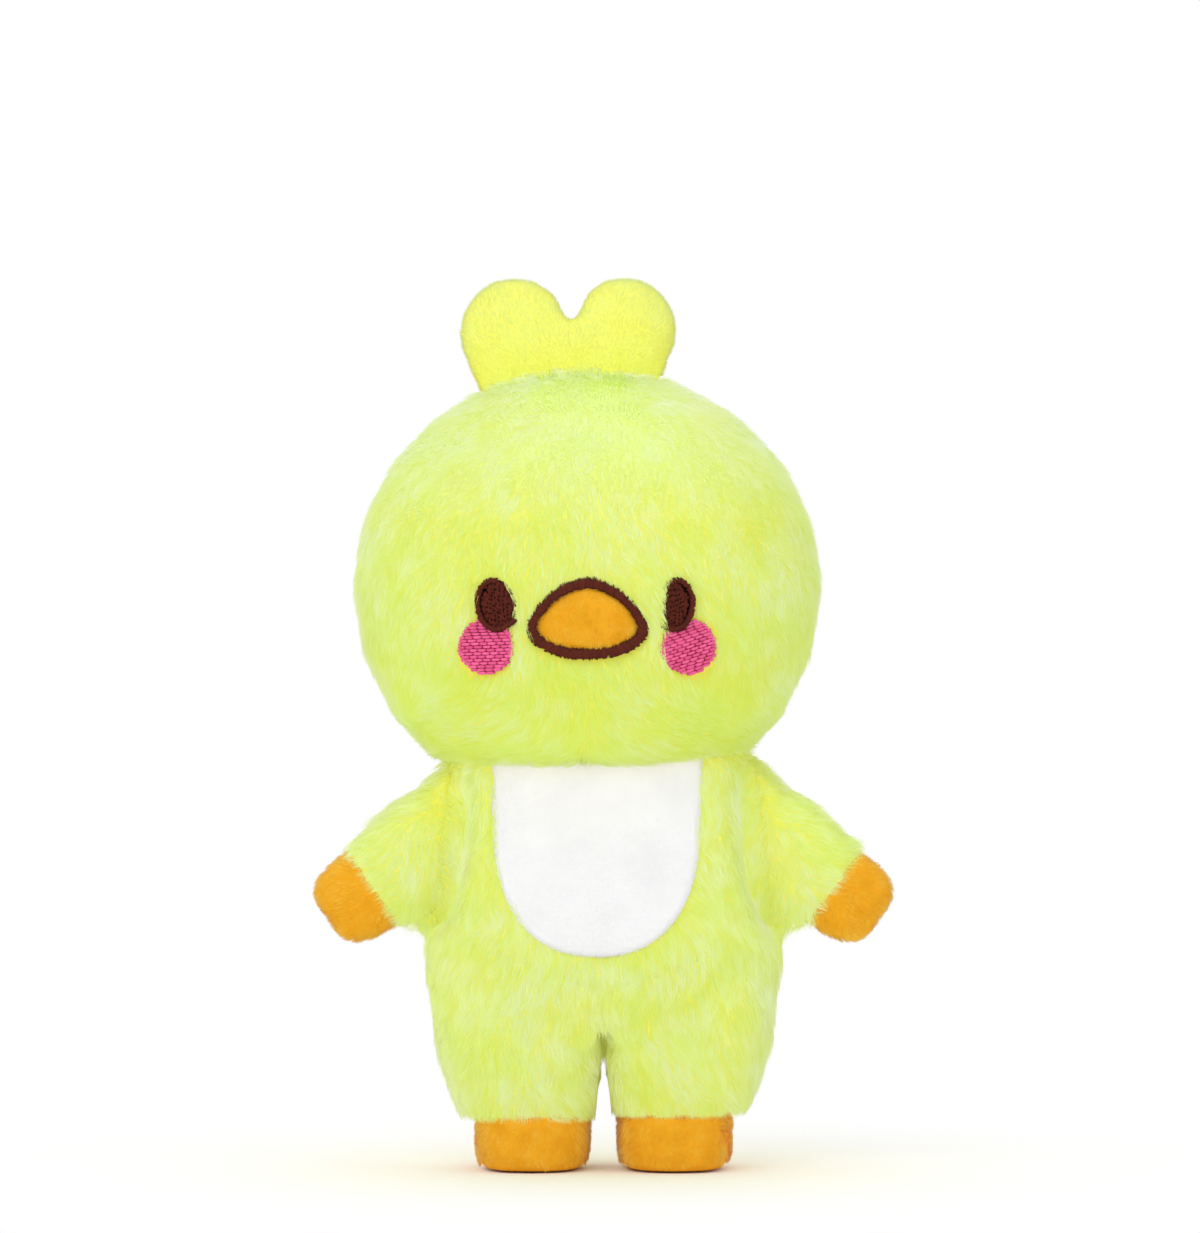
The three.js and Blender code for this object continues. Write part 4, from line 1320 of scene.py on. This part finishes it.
def cut_skins(whole):
    """Cuts the body's skin into torso, sleeves and legs."""
    torso = portion(whole, "body_skin", on_torso)
    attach(torso, "torso")
    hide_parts(*TORSO_NODES)
    skins = [torso]
    for side in SIDES:
        arm_nodes, leg_nodes = limb_nodes(side)
        arm = portion(whole, f"{side}_sleeve_skin", lambda p, s=side: on_arm(p, s))
        bend_arm(arm, side)
        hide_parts(*arm_nodes)
        leg = portion(whole, f"{side}_leg_skin", lambda p, s=side: on_leg(p, s) & ~on_arm(p, s))
        bend_leg(leg)
        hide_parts(*leg_nodes)
        skins += [arm, leg]
    for skin in skins:
        skin.data.materials.append(FUR_KNIT)


def cut_fur(name, fibres, material):
    """Cuts a layer of the body's fur as its skin is cut."""
    roots = fibres.roots()

    def pieces(label, chosen):
        some = fibres.pick(np.flatnonzero(chosen))
        return coat(f"{label}_{name}_fur", some, some.roots()[:, 2], material)

    for piece in pieces("body", on_torso(roots)):
        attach(piece, "torso")
    for side in SIDES:
        arm = on_arm(roots, side)
        for piece in pieces(f"{side}_sleeve", arm):
            bend_arm(piece, side)
        for piece in pieces(f"{side}_leg", on_leg(roots, side) & ~arm):
            bend_leg(piece)


def make_body():
    nodes = [*TORSO_NODES, "belly_patch"]
    for side in SIDES:
        nodes += sum(limb_nodes(side), [])
    whole = fused("body_whole", nodes, VOXEL, SOFTENED["body"], fillings=[filling(HIP_LEVELS, 0)])
    stuff(whole, body_held)
    front = shape_body(whole)
    cut_skins(whole)
    for number, (name, pile, material) in enumerate(layers(BODY_GUARD)):
        fibres = fibres_on(whole, pile, body_flow, SEED + 2 + number, SEED + 40, body_grows)
        fibres = fibres.off(bib_distance, BIB_LAP).off(parting_distance, 0.0)
        cut_fur(name, fibres.off(hem_distance, HEM_LAP).off(cuff_distance, CUFF_LAP), material)
    bpy.data.objects.remove(whole)
    return front


# Hands, feet and comb, of short plush: its pile, the room for it, its knit, its dye and its slot

ORANGE_PLUSH = (SHORT, PLUSH_DEPTH, ORANGE_KNIT, ORANGE, "orange_plush")
COMB_PLUSH = (SMOOTH, COMB_DEPTH, COMB_KNIT, COMB, "comb_plush")

# How far the pile leans out from a part's middle, and the edges that it stays off
HAND_SPREAD = 0.4
FOOT_SPREAD = 0.3
FOOT_FLOW = (0, -0.5, -1.0)
FOOT_UNDER = -0.4  # what faces down more than this is the sole
COMB_SPREAD = 0.5
COMB_SPREAD_WAY = (1, 0, 0.3)
COMB_BARE = -2 * MM
COMB_SHADE_AND_LIGHT = (-0.45, 0.7)  # painted shade at its foot, and how much paler it is painted further up


def plush_part(name, kind, nodes, plush, seed, flow, grows, shape, tone=None, filled=True):
    """A stuffed part of short plush: its skin and its pile."""
    pile, depth, knit, material, slot = plush
    skin = fused(f"{name}_skin", nodes, FINE_VOXEL, SOFTENED[kind], filled)
    place_points(skin, shape(vertex_array(skin.data)))
    inset(skin, depth)
    skin.data.materials.append(knit)
    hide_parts(*nodes)
    fibres = fibres_on(skin, pile, flow, seed, seed, grows)
    if tone is not None:
        fibres = fibres.toned(tone(fibres.roots()))
    return [skin, *coat(f"{name}_pile", fibres, fibres.roots()[:, 2], material)]


def make_hand(side):
    nodes = [f"{side}_hand_front", f"{side}_hand_back"]

    def flow(places):
        return np.tile(hand_way(side), (len(places), 1)) + HAND_SPREAD * unit(places - places.mean(axis=0))

    def grows(places, facing):
        return past_cuff(places, side) > CUFF_BARE

    def shape(points):
        """Stretched by its stuffing, and drawn in by the dart that runs slantwise over its front."""
        past = past_cuff(points, side)
        points = points + HAND_LONGER * np.maximum(past, 0)[:, None] * hand_way(side)
        middle = points[past > 0].mean(axis=0)
        dart_way = np.array(HAND_DART_WAY) * (SIDES[side], 1, 1)
        off = np.cross(points - middle, dart_way)[:, 1]
        points[:, 1] += groove(off, *HAND_DART) * (points[:, 1] < HAND_FRONT)
        return points

    seed = SEED + 60 + SIDES[side]
    for piece in plush_part(f"{side}_hand", "hand", nodes, ORANGE_PLUSH, seed, flow, grows, shape):
        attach(piece, f"{side}_arm")


def make_foot(side):
    nodes = [f"{side}_foot_upper", f"{side}_sole"]

    def flow(places):
        return np.array(FOOT_FLOW) + FOOT_SPREAD * unit((places - places.mean(axis=0)) * (1, 1, 0))

    def grows(places, facing):
        """Not under the sole or under the hem."""
        return (facing[:, 2] > FOOT_UNDER) & (places[:, 2] < HEM_Z)

    def shape(points):
        return points - np.array((0, 0, SOLE_LOWERED)) * (1 - smoothstep(0, SOLE_EDGE, points[:, 2:]))

    seed = SEED + 80 + SIDES[side]
    for piece in plush_part(f"{side}_foot", "foot", nodes, ORANGE_PLUSH, seed, flow, grows, shape):
        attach(piece, f"{side}_leg")


def make_comb():
    nodes = ["comb_front_panel", "comb_back_panel", "comb_stuffing"]
    joint = JOINTS["comb_fold"]
    start = np.array(joint["pos_m"])
    up = np.cross(unit(np.array(joint["axis"])), (0, 1.0, 0))
    up = up if up[2] > 0 else -up

    def flow(places):
        return up + COMB_SPREAD * unit((places - start) * COMB_SPREAD_WAY)

    def grows(places, facing):
        return (places - start) @ up > COMB_BARE

    def shape(points):
        """Drawn down between its lobes by the seam there."""
        off = np.minimum(np.abs(points[:, 0] - CLEFT_X) / CLEFT_HALF, 1)
        near = smoothstep(CLEFT_Z - CLEFT_DEEP, CLEFT_Z, points[:, 2])
        points[:, 2] -= CLEFT_DRAWN * (1 - off**2) ** 2 * near
        return points

    def tone(places):
        """Painted shade, deepest at its foot where it meets the head, and paler further up."""
        return COMB_SHADE_AND_LIGHT[1] * smoothstep(0, COMB_LIGHTER_OVER, (places - start) @ up) + COMB_SHADE_AND_LIGHT[0]

    for piece in plush_part("comb", "comb", nodes, COMB_PLUSH, SEED + 90, flow, grows, shape, tone, False):
        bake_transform(piece)


def make_neck():
    skin = fused("neck_fibrefill", ["neck_wad"], FINE_VOXEL, SOFTENED["neck"])
    skin.data.materials.append(FIBRE)
    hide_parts("neck_wad")
    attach(skin, "neck")


# Embroidery and the bib


def on_front(tree, flat, sunk):
    """Points on a form's front at places seen from there, sunk below its surface, and the normals there."""
    points, normals = [], []
    for x, z in flat:
        hit, normal, _, _ = tree.ray_cast(Vector((x, -1.0, z)), Vector((0, 1.0, 0)))
        normal = normal if normal.y < 0 else -normal
        points.append(hit - normal * sunk)
        normals.append(normal)
    return np.array(points), np.array(normals)


def stitches(name, tree, pairs, thread, material, seed):
    """Threads laid over a form's front between pairs of points, each arched and sunk at both ends."""
    sunk, thickness, arch = thread
    rng = np.random.default_rng(seed)
    count, steps = len(pairs), len(STITCH_ENDS)
    share = np.linspace(0, 1, steps)
    flat = pairs[:, :1] * (1 - share)[None, :, None] + pairs[:, 1:] * share[None, :, None]
    points, normals = on_front(tree, flat.reshape(-1, 2), sunk)
    normals = normals.reshape(count, steps, 3)
    lift = arch * np.sin(math.pi * share) ** 0.5 - 0.5 * arch * (np.abs(share - 0.5) > 0.49)
    paths = points.reshape(count, steps, 3) + normals * lift[None, :, None]
    radii = thickness / 2 * rng.uniform(0.9, 1.1, (count, 1)) * STITCH_ENDS
    facing = unit(normals.mean(axis=1))
    tint = rng.random(count)
    return tubes(name, paths, radii, facing, tint, material, STITCH_SIDES, False, STITCH_SOFTNESS)


def satin(outer, inner, rough, seed):
    """Ends of stitches laid side by side from one line to another."""
    rng = np.random.default_rng(seed)
    run = np.append(0, np.linalg.norm(np.diff(outer, axis=0), axis=1).cumsum())
    at = np.arange(0, run[-1], SATIN_PITCH)
    starts, ends = (np.stack([np.interp(at, run, z) for z in line.T], axis=1) for line in (outer, inner))
    across = unit(starts - ends)
    starts = starts + across * rng.normal(0.4, 1, (len(at), 1)) * rough
    ends = ends + across * rng.normal(0, 0.7, (len(at), 1)) * rough
    return np.stack([starts, ends], axis=1)


def chords(half, slant, pitch):
    """Parallel lines across an ellipse from edge to edge, as pairs of points round its middle."""
    way = np.array((math.cos(slant), math.sin(slant)))
    square = np.array((-way[1], way[0]))
    line = np.linspace(-2, 2, 801) * max(half)
    found = []
    for row in np.arange(-max(half) + pitch / 2, max(half), pitch):
        points = square * row + line[:, None] * way
        inside = points[np.hypot(points[:, 0] / half[0], points[:, 1] / half[1]) < 1]
        if len(inside) > 8:
            found.append((inside[0], inside[-1]))
    return np.array(found)


def patch(name, tree, loop, form, material):
    """A sewn-down patch inside an outline: crowned in the middle, its edge turned in."""
    sunk, puff, thick, rings = form
    middle = loop.mean(axis=0)
    count = len(loop)
    flat, height = [], []
    for ring in range(rings):
        share = 1 - ring / rings
        flat.append(middle + (loop - middle) * share)
        height.append(np.full(count, puff * (1 - share**3)))
    flat.append(middle[None])
    height.append(np.array([puff]))
    flat, height = np.concatenate(flat), np.concatenate(height)
    base, normals = on_front(tree, flat, sunk)
    top = base + normals * height[:, None]
    under = base[:count] - normals[:count] * thick
    faces = []
    for ring in range(rings - 1):
        for i in range(count):
            a, b = ring * count + i, ring * count + (i + 1) % count
            faces.append((a, b, b + count, a + count))
    last = (rings - 1) * count
    tip = rings * count
    faces += [(last + i, last + (i + 1) % count, tip) for i in range(count)]
    low = tip + 1
    faces += [((i + 1) % count, i, low + i, low + (i + 1) % count) for i in range(count)]
    faces.append(tuple(low + i for i in reversed(range(count))))
    mesh = bpy.data.meshes.new(name)
    mesh.from_pydata(np.concatenate([top, under]).tolist(), [], faces)
    shape = bmesh.new()
    shape.from_mesh(mesh)
    bmesh.ops.recalc_face_normals(shape, faces=shape.faces)
    shape.to_mesh(mesh)
    shape.free()
    shade_smooth(mesh)
    mesh.materials.append(material)
    return collection_add(bpy.data.objects.new(name, mesh))


def ellipse_line(middle, half):
    turn = np.radians(np.linspace(0, 360, ELLIPSE_POINTS, endpoint=False))
    return np.array(middle) + np.stack([half[0] * np.cos(turn), half[1] * np.sin(turn)], axis=1)


def front_pile(name, piece, pile, lean, most_back, seed, material):
    """Pile on the front of a patch, which lies down and leans to one side."""

    def flow(places):
        return np.tile((lean, 0, -1.0), (len(places), 1))

    def grows(places, facing):
        return facing[:, 1] < most_back

    fibres = fibres_on(piece, pile, flow, seed, seed + 1, grows)
    return coat(name, fibres, fibres.roots()[:, 2], material)


def make_beak(face):
    plush = patch("beak_plush", face, beak_outline(BEAK_BORDER - PATCH_IN), BEAK_PATCH, ORANGE_KNIT)
    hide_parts("beak_patch")
    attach(plush, "head")
    for piece in front_pile("beak_pile", plush, SHORT, 0.15, -0.3, SEED + 100, ORANGE):
        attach(piece, "head")

    outer, inner = (beak_outline(by, 60) for by in (0.0, BEAK_BORDER))
    closed = [np.vstack([line, line[:1]]) for line in (outer, inner)]
    pairs = satin(*closed, BEAK_ROUGH, SEED + 102)
    border = stitches("beak_border_stitches", face, pairs, BEAK_THREAD, BROWN, SEED + 103)
    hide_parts("beak_border")
    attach(border, "head")


def bricks(lines, length, rough, seed):
    """Short stitches along lines, each row set off from the next."""
    rng = np.random.default_rng(seed)
    pairs = []
    for number, (low, high) in enumerate(lines):
        reach = np.linalg.norm(high - low)
        way = (high - low) / reach
        cuts = np.clip(np.arange(-length * (0.4 * number % 1), reach + length, length), 0, reach)
        cuts = cuts + rng.normal(0, rough, len(cuts))
        for start, end in itertools.pairwise(cuts):
            if end - start > 0.2 * length:
                pairs.append((low + way * start, low + way * end))
    return np.array(pairs)


def uncovered(pairs, side):
    """The stitches of an eye that no fur lies over."""
    if not EYE_HIDDEN[side]:
        return pairs
    centres = pairs.mean(axis=1)[:, [0, 0, 1]]
    return pairs[eye_distance(centres, side, EYE_HIDDEN[side]) < -FACE_LAP]


def eye_rim(side):
    """The outer and the inner line of an eye's rim, the ends of which run out."""
    turn = np.radians(np.linspace(*EYE_RIM_TURN, 80))
    run_out = EYE_TICK * smoothstep(0.88, 1, np.linspace(0, 1, len(turn)))
    lines = []
    for narrower in (0, EYE_RIM):
        radii = np.array(EYE_HALF)[:, None] - narrower + run_out
        line = np.stack([-SIDES[side] * radii[0] * np.cos(turn), radii[1] * np.sin(turn)], axis=1)
        lines.append(eye_middle(side) + leaning(line, side))
    return lines


def make_eye(face, side):
    sign = SIDES[side]
    middle = eye_middle(side)
    half = np.array(EYE_HALF)
    loop = ellipse_line((0, 0), half - PATCH_IN)
    loop[:, 0] = sign * np.maximum(sign * loop[:, 0], EYE_HIDDEN[side] + PATCH_IN - half[0])
    base = patch(f"{side}_eye_backing", face, middle + leaning(loop, side), EYE_PATCH, BROWN)
    lines = leaning(chords(half - EYE_FILL, sign * EYE_FILL_SLANT, EYE_ROWS), side)
    lines = lines - np.array((sign * EYE_FILL_OFF, 0))
    pairs = uncovered(middle + bricks(lines, *EYE_STITCH, SEED + 110 + sign), side)
    fill = stitches(f"{side}_eye_stitches", face, pairs, EYE_THREAD, BROWN, SEED + 111 + sign)
    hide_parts(f"{side}_eye")
    pairs = uncovered(satin(*eye_rim(side), RIM_ROUGH, SEED + 114 + sign), side)
    rim = stitches(f"{side}_eye_rim", face, pairs, RIM_THREAD, BROWN, SEED + 117 + sign)
    for piece in (base, fill, rim):
        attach(piece, "head")


def make_cheek(face, side):
    sign = SIDES[side]
    middle = np.array((HEAD_X + sign * CHEEK_OUT, HEAD_Z - CHEEK_DOWN))
    loop = ellipse_line(middle, (CHEEK_HALF - PATCH_IN,) * 2)
    base = patch(f"{side}_cheek_backing", face, loop, CHEEK_PATCH, PINK)
    lines = middle + chords((CHEEK_HALF, CHEEK_HALF), CHEEK_SLANT[side], CHEEK_ROWS)
    pairs = bricks(lines, *CHEEK_STITCH, SEED + 120 + sign)
    centres = pairs.mean(axis=1)[:, [0, 0, 1]]
    pairs = pairs[eye_distance(centres, side) > 0]
    fill = stitches(f"{side}_cheek_stitches", face, pairs, CHEEK_THREAD, PINK, SEED + 121 + sign)
    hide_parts(f"{side}_cheek")
    for piece in (base, fill):
        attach(piece, "head")


def make_bib(front):
    loop = bib_outline(BIB_UNDER)
    bib = patch("belly_bib", front, loop, BIB_PATCH, WHITE)
    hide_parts("belly_patch")
    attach(bib, "torso")
    for piece in front_pile("bib_pile", bib, VELOUR, 0.1, -0.2, SEED + 130, VELOUR_WHITE):
        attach(piece, "torso")


# Stage


def make_lamp(name, place, power):
    light = bpy.data.lights.new(name, "AREA")
    light.shape = "DISK"
    light.size = LAMP_SIZE
    light.energy = power
    lamp = collection_add(bpy.data.objects.new(name, light))
    lamp.location = place
    lamp.rotation_euler = (Vector(LAMP_AIM) - Vector(place)).to_track_quat("-Z", "Y").to_euler()


def seen_directly(tree):
    """1 for a ray from the camera or off a shiny surface."""
    path = tree.nodes.new("ShaderNodeLightPath")
    total = path.outputs["Is Camera Ray"]
    for kind in ("Is Glossy Ray", "Is Transmission Ray"):
        either = tree.nodes.new("ShaderNodeMath")
        either.operation = "MAXIMUM"
        tree.links.new(total, either.inputs[0])
        tree.links.new(path.outputs[kind], either.inputs[1])
        total = either.outputs["Value"]
    return total


def make_world():
    world = bpy.data.worlds.new("studio")
    world.use_nodes = True
    tree = world.node_tree
    soft = tree.nodes["Background"]
    soft.inputs["Color"].default_value = (1, 1, 1, 1)
    soft.inputs["Strength"].default_value = ROOM_LIGHT
    white = tree.nodes.new("ShaderNodeBackground")
    white.inputs["Color"].default_value = (1, 1, 1, 1)
    white.inputs["Strength"].default_value = 1.0
    mix = tree.nodes.new("ShaderNodeMixShader")
    tree.links.new(seen_directly(tree), mix.inputs["Fac"])
    tree.links.new(soft.outputs["Background"], mix.inputs[1])
    tree.links.new(white.outputs["Background"], mix.inputs[2])
    tree.links.new(mix.outputs["Shader"], tree.nodes["World Output"].inputs["Surface"])
    bpy.context.scene.world = world


def make_floor():
    """White paper that keeps the toy's shadow and runs out into the plain white of the background."""
    mesh = bpy.data.meshes.new("floor")
    corners = [(x * PAPER_HALF, y * PAPER_HALF, 0) for x, y in ((-1, -1), (1, -1), (1, 1), (-1, 1))]
    mesh.from_pydata(corners, [], [(0, 1, 2, 3)])
    floor = collection_add(bpy.data.objects.new("floor", mesh))
    paper = Nodes("paper")
    paper.shader.inputs["Base Color"].default_value = (0.95, 0.95, 0.95, 1)
    paper.finish(0.95, specular=0.0)
    glow = paper.add("ShaderNodeEmission")
    glow.inputs["Strength"].default_value = 1.0
    place = paper.add("ShaderNodeTexCoord")
    length = paper.add("ShaderNodeVectorMath", operation="LENGTH")
    paper.join(place.outputs["Object"], length.inputs[0])
    fade = paper.add("ShaderNodeMapRange", interpolation_type="SMOOTHSTEP")
    for end, distance in zip(("From Min", "From Max"), PAPER_FADE, strict=True):
        fade.inputs[end].default_value = distance
    paper.join(length.outputs["Value"], fade.inputs["Value"])
    share = paper.add("ShaderNodeMath", operation="MULTIPLY")
    paper.join(fade.outputs["Result"], share.inputs[0])
    paper.join(seen_directly(paper.tree), share.inputs[1])
    mix = paper.add("ShaderNodeMixShader")
    paper.join(share.outputs["Value"], mix.inputs["Fac"])
    paper.join(paper.shader.outputs["BSDF"], mix.inputs[1])
    paper.join(glow.outputs["Emission"], mix.inputs[2])
    paper.join(mix.outputs["Shader"], paper.tree.nodes["Material Output"].inputs["Surface"])
    mesh.materials.append(paper.material)


def make_camera():
    lens = bpy.data.cameras.new("camera")
    lens.sensor_width = SENSOR_WIDTH
    lens.lens = lens.sensor_width * CAMERA_BACK / PICTURE_HEIGHT
    camera = collection_add(bpy.data.objects.new("camera", lens))
    camera.location = (CAMERA_X, -CAMERA_BACK, CAMERA_Z)
    camera.rotation_euler = (math.pi / 2, 0, 0)
    bpy.context.scene.camera = camera


def make_stage():
    bpy.context.scene.view_settings.view_transform = "Standard"
    make_world()
    make_floor()
    for name, (place, power) in LAMPS.items():
        make_lamp(name, place, power)
    make_camera()


make_stage()
face_tree = make_head()
front_tree = make_body()
make_neck()
make_comb()
for side in SIDES:
    make_hand(side)
    make_foot(side)
    make_eye(face_tree, side)
    make_cheek(face_tree, side)
make_beak(face_tree)
make_bib(front_tree)
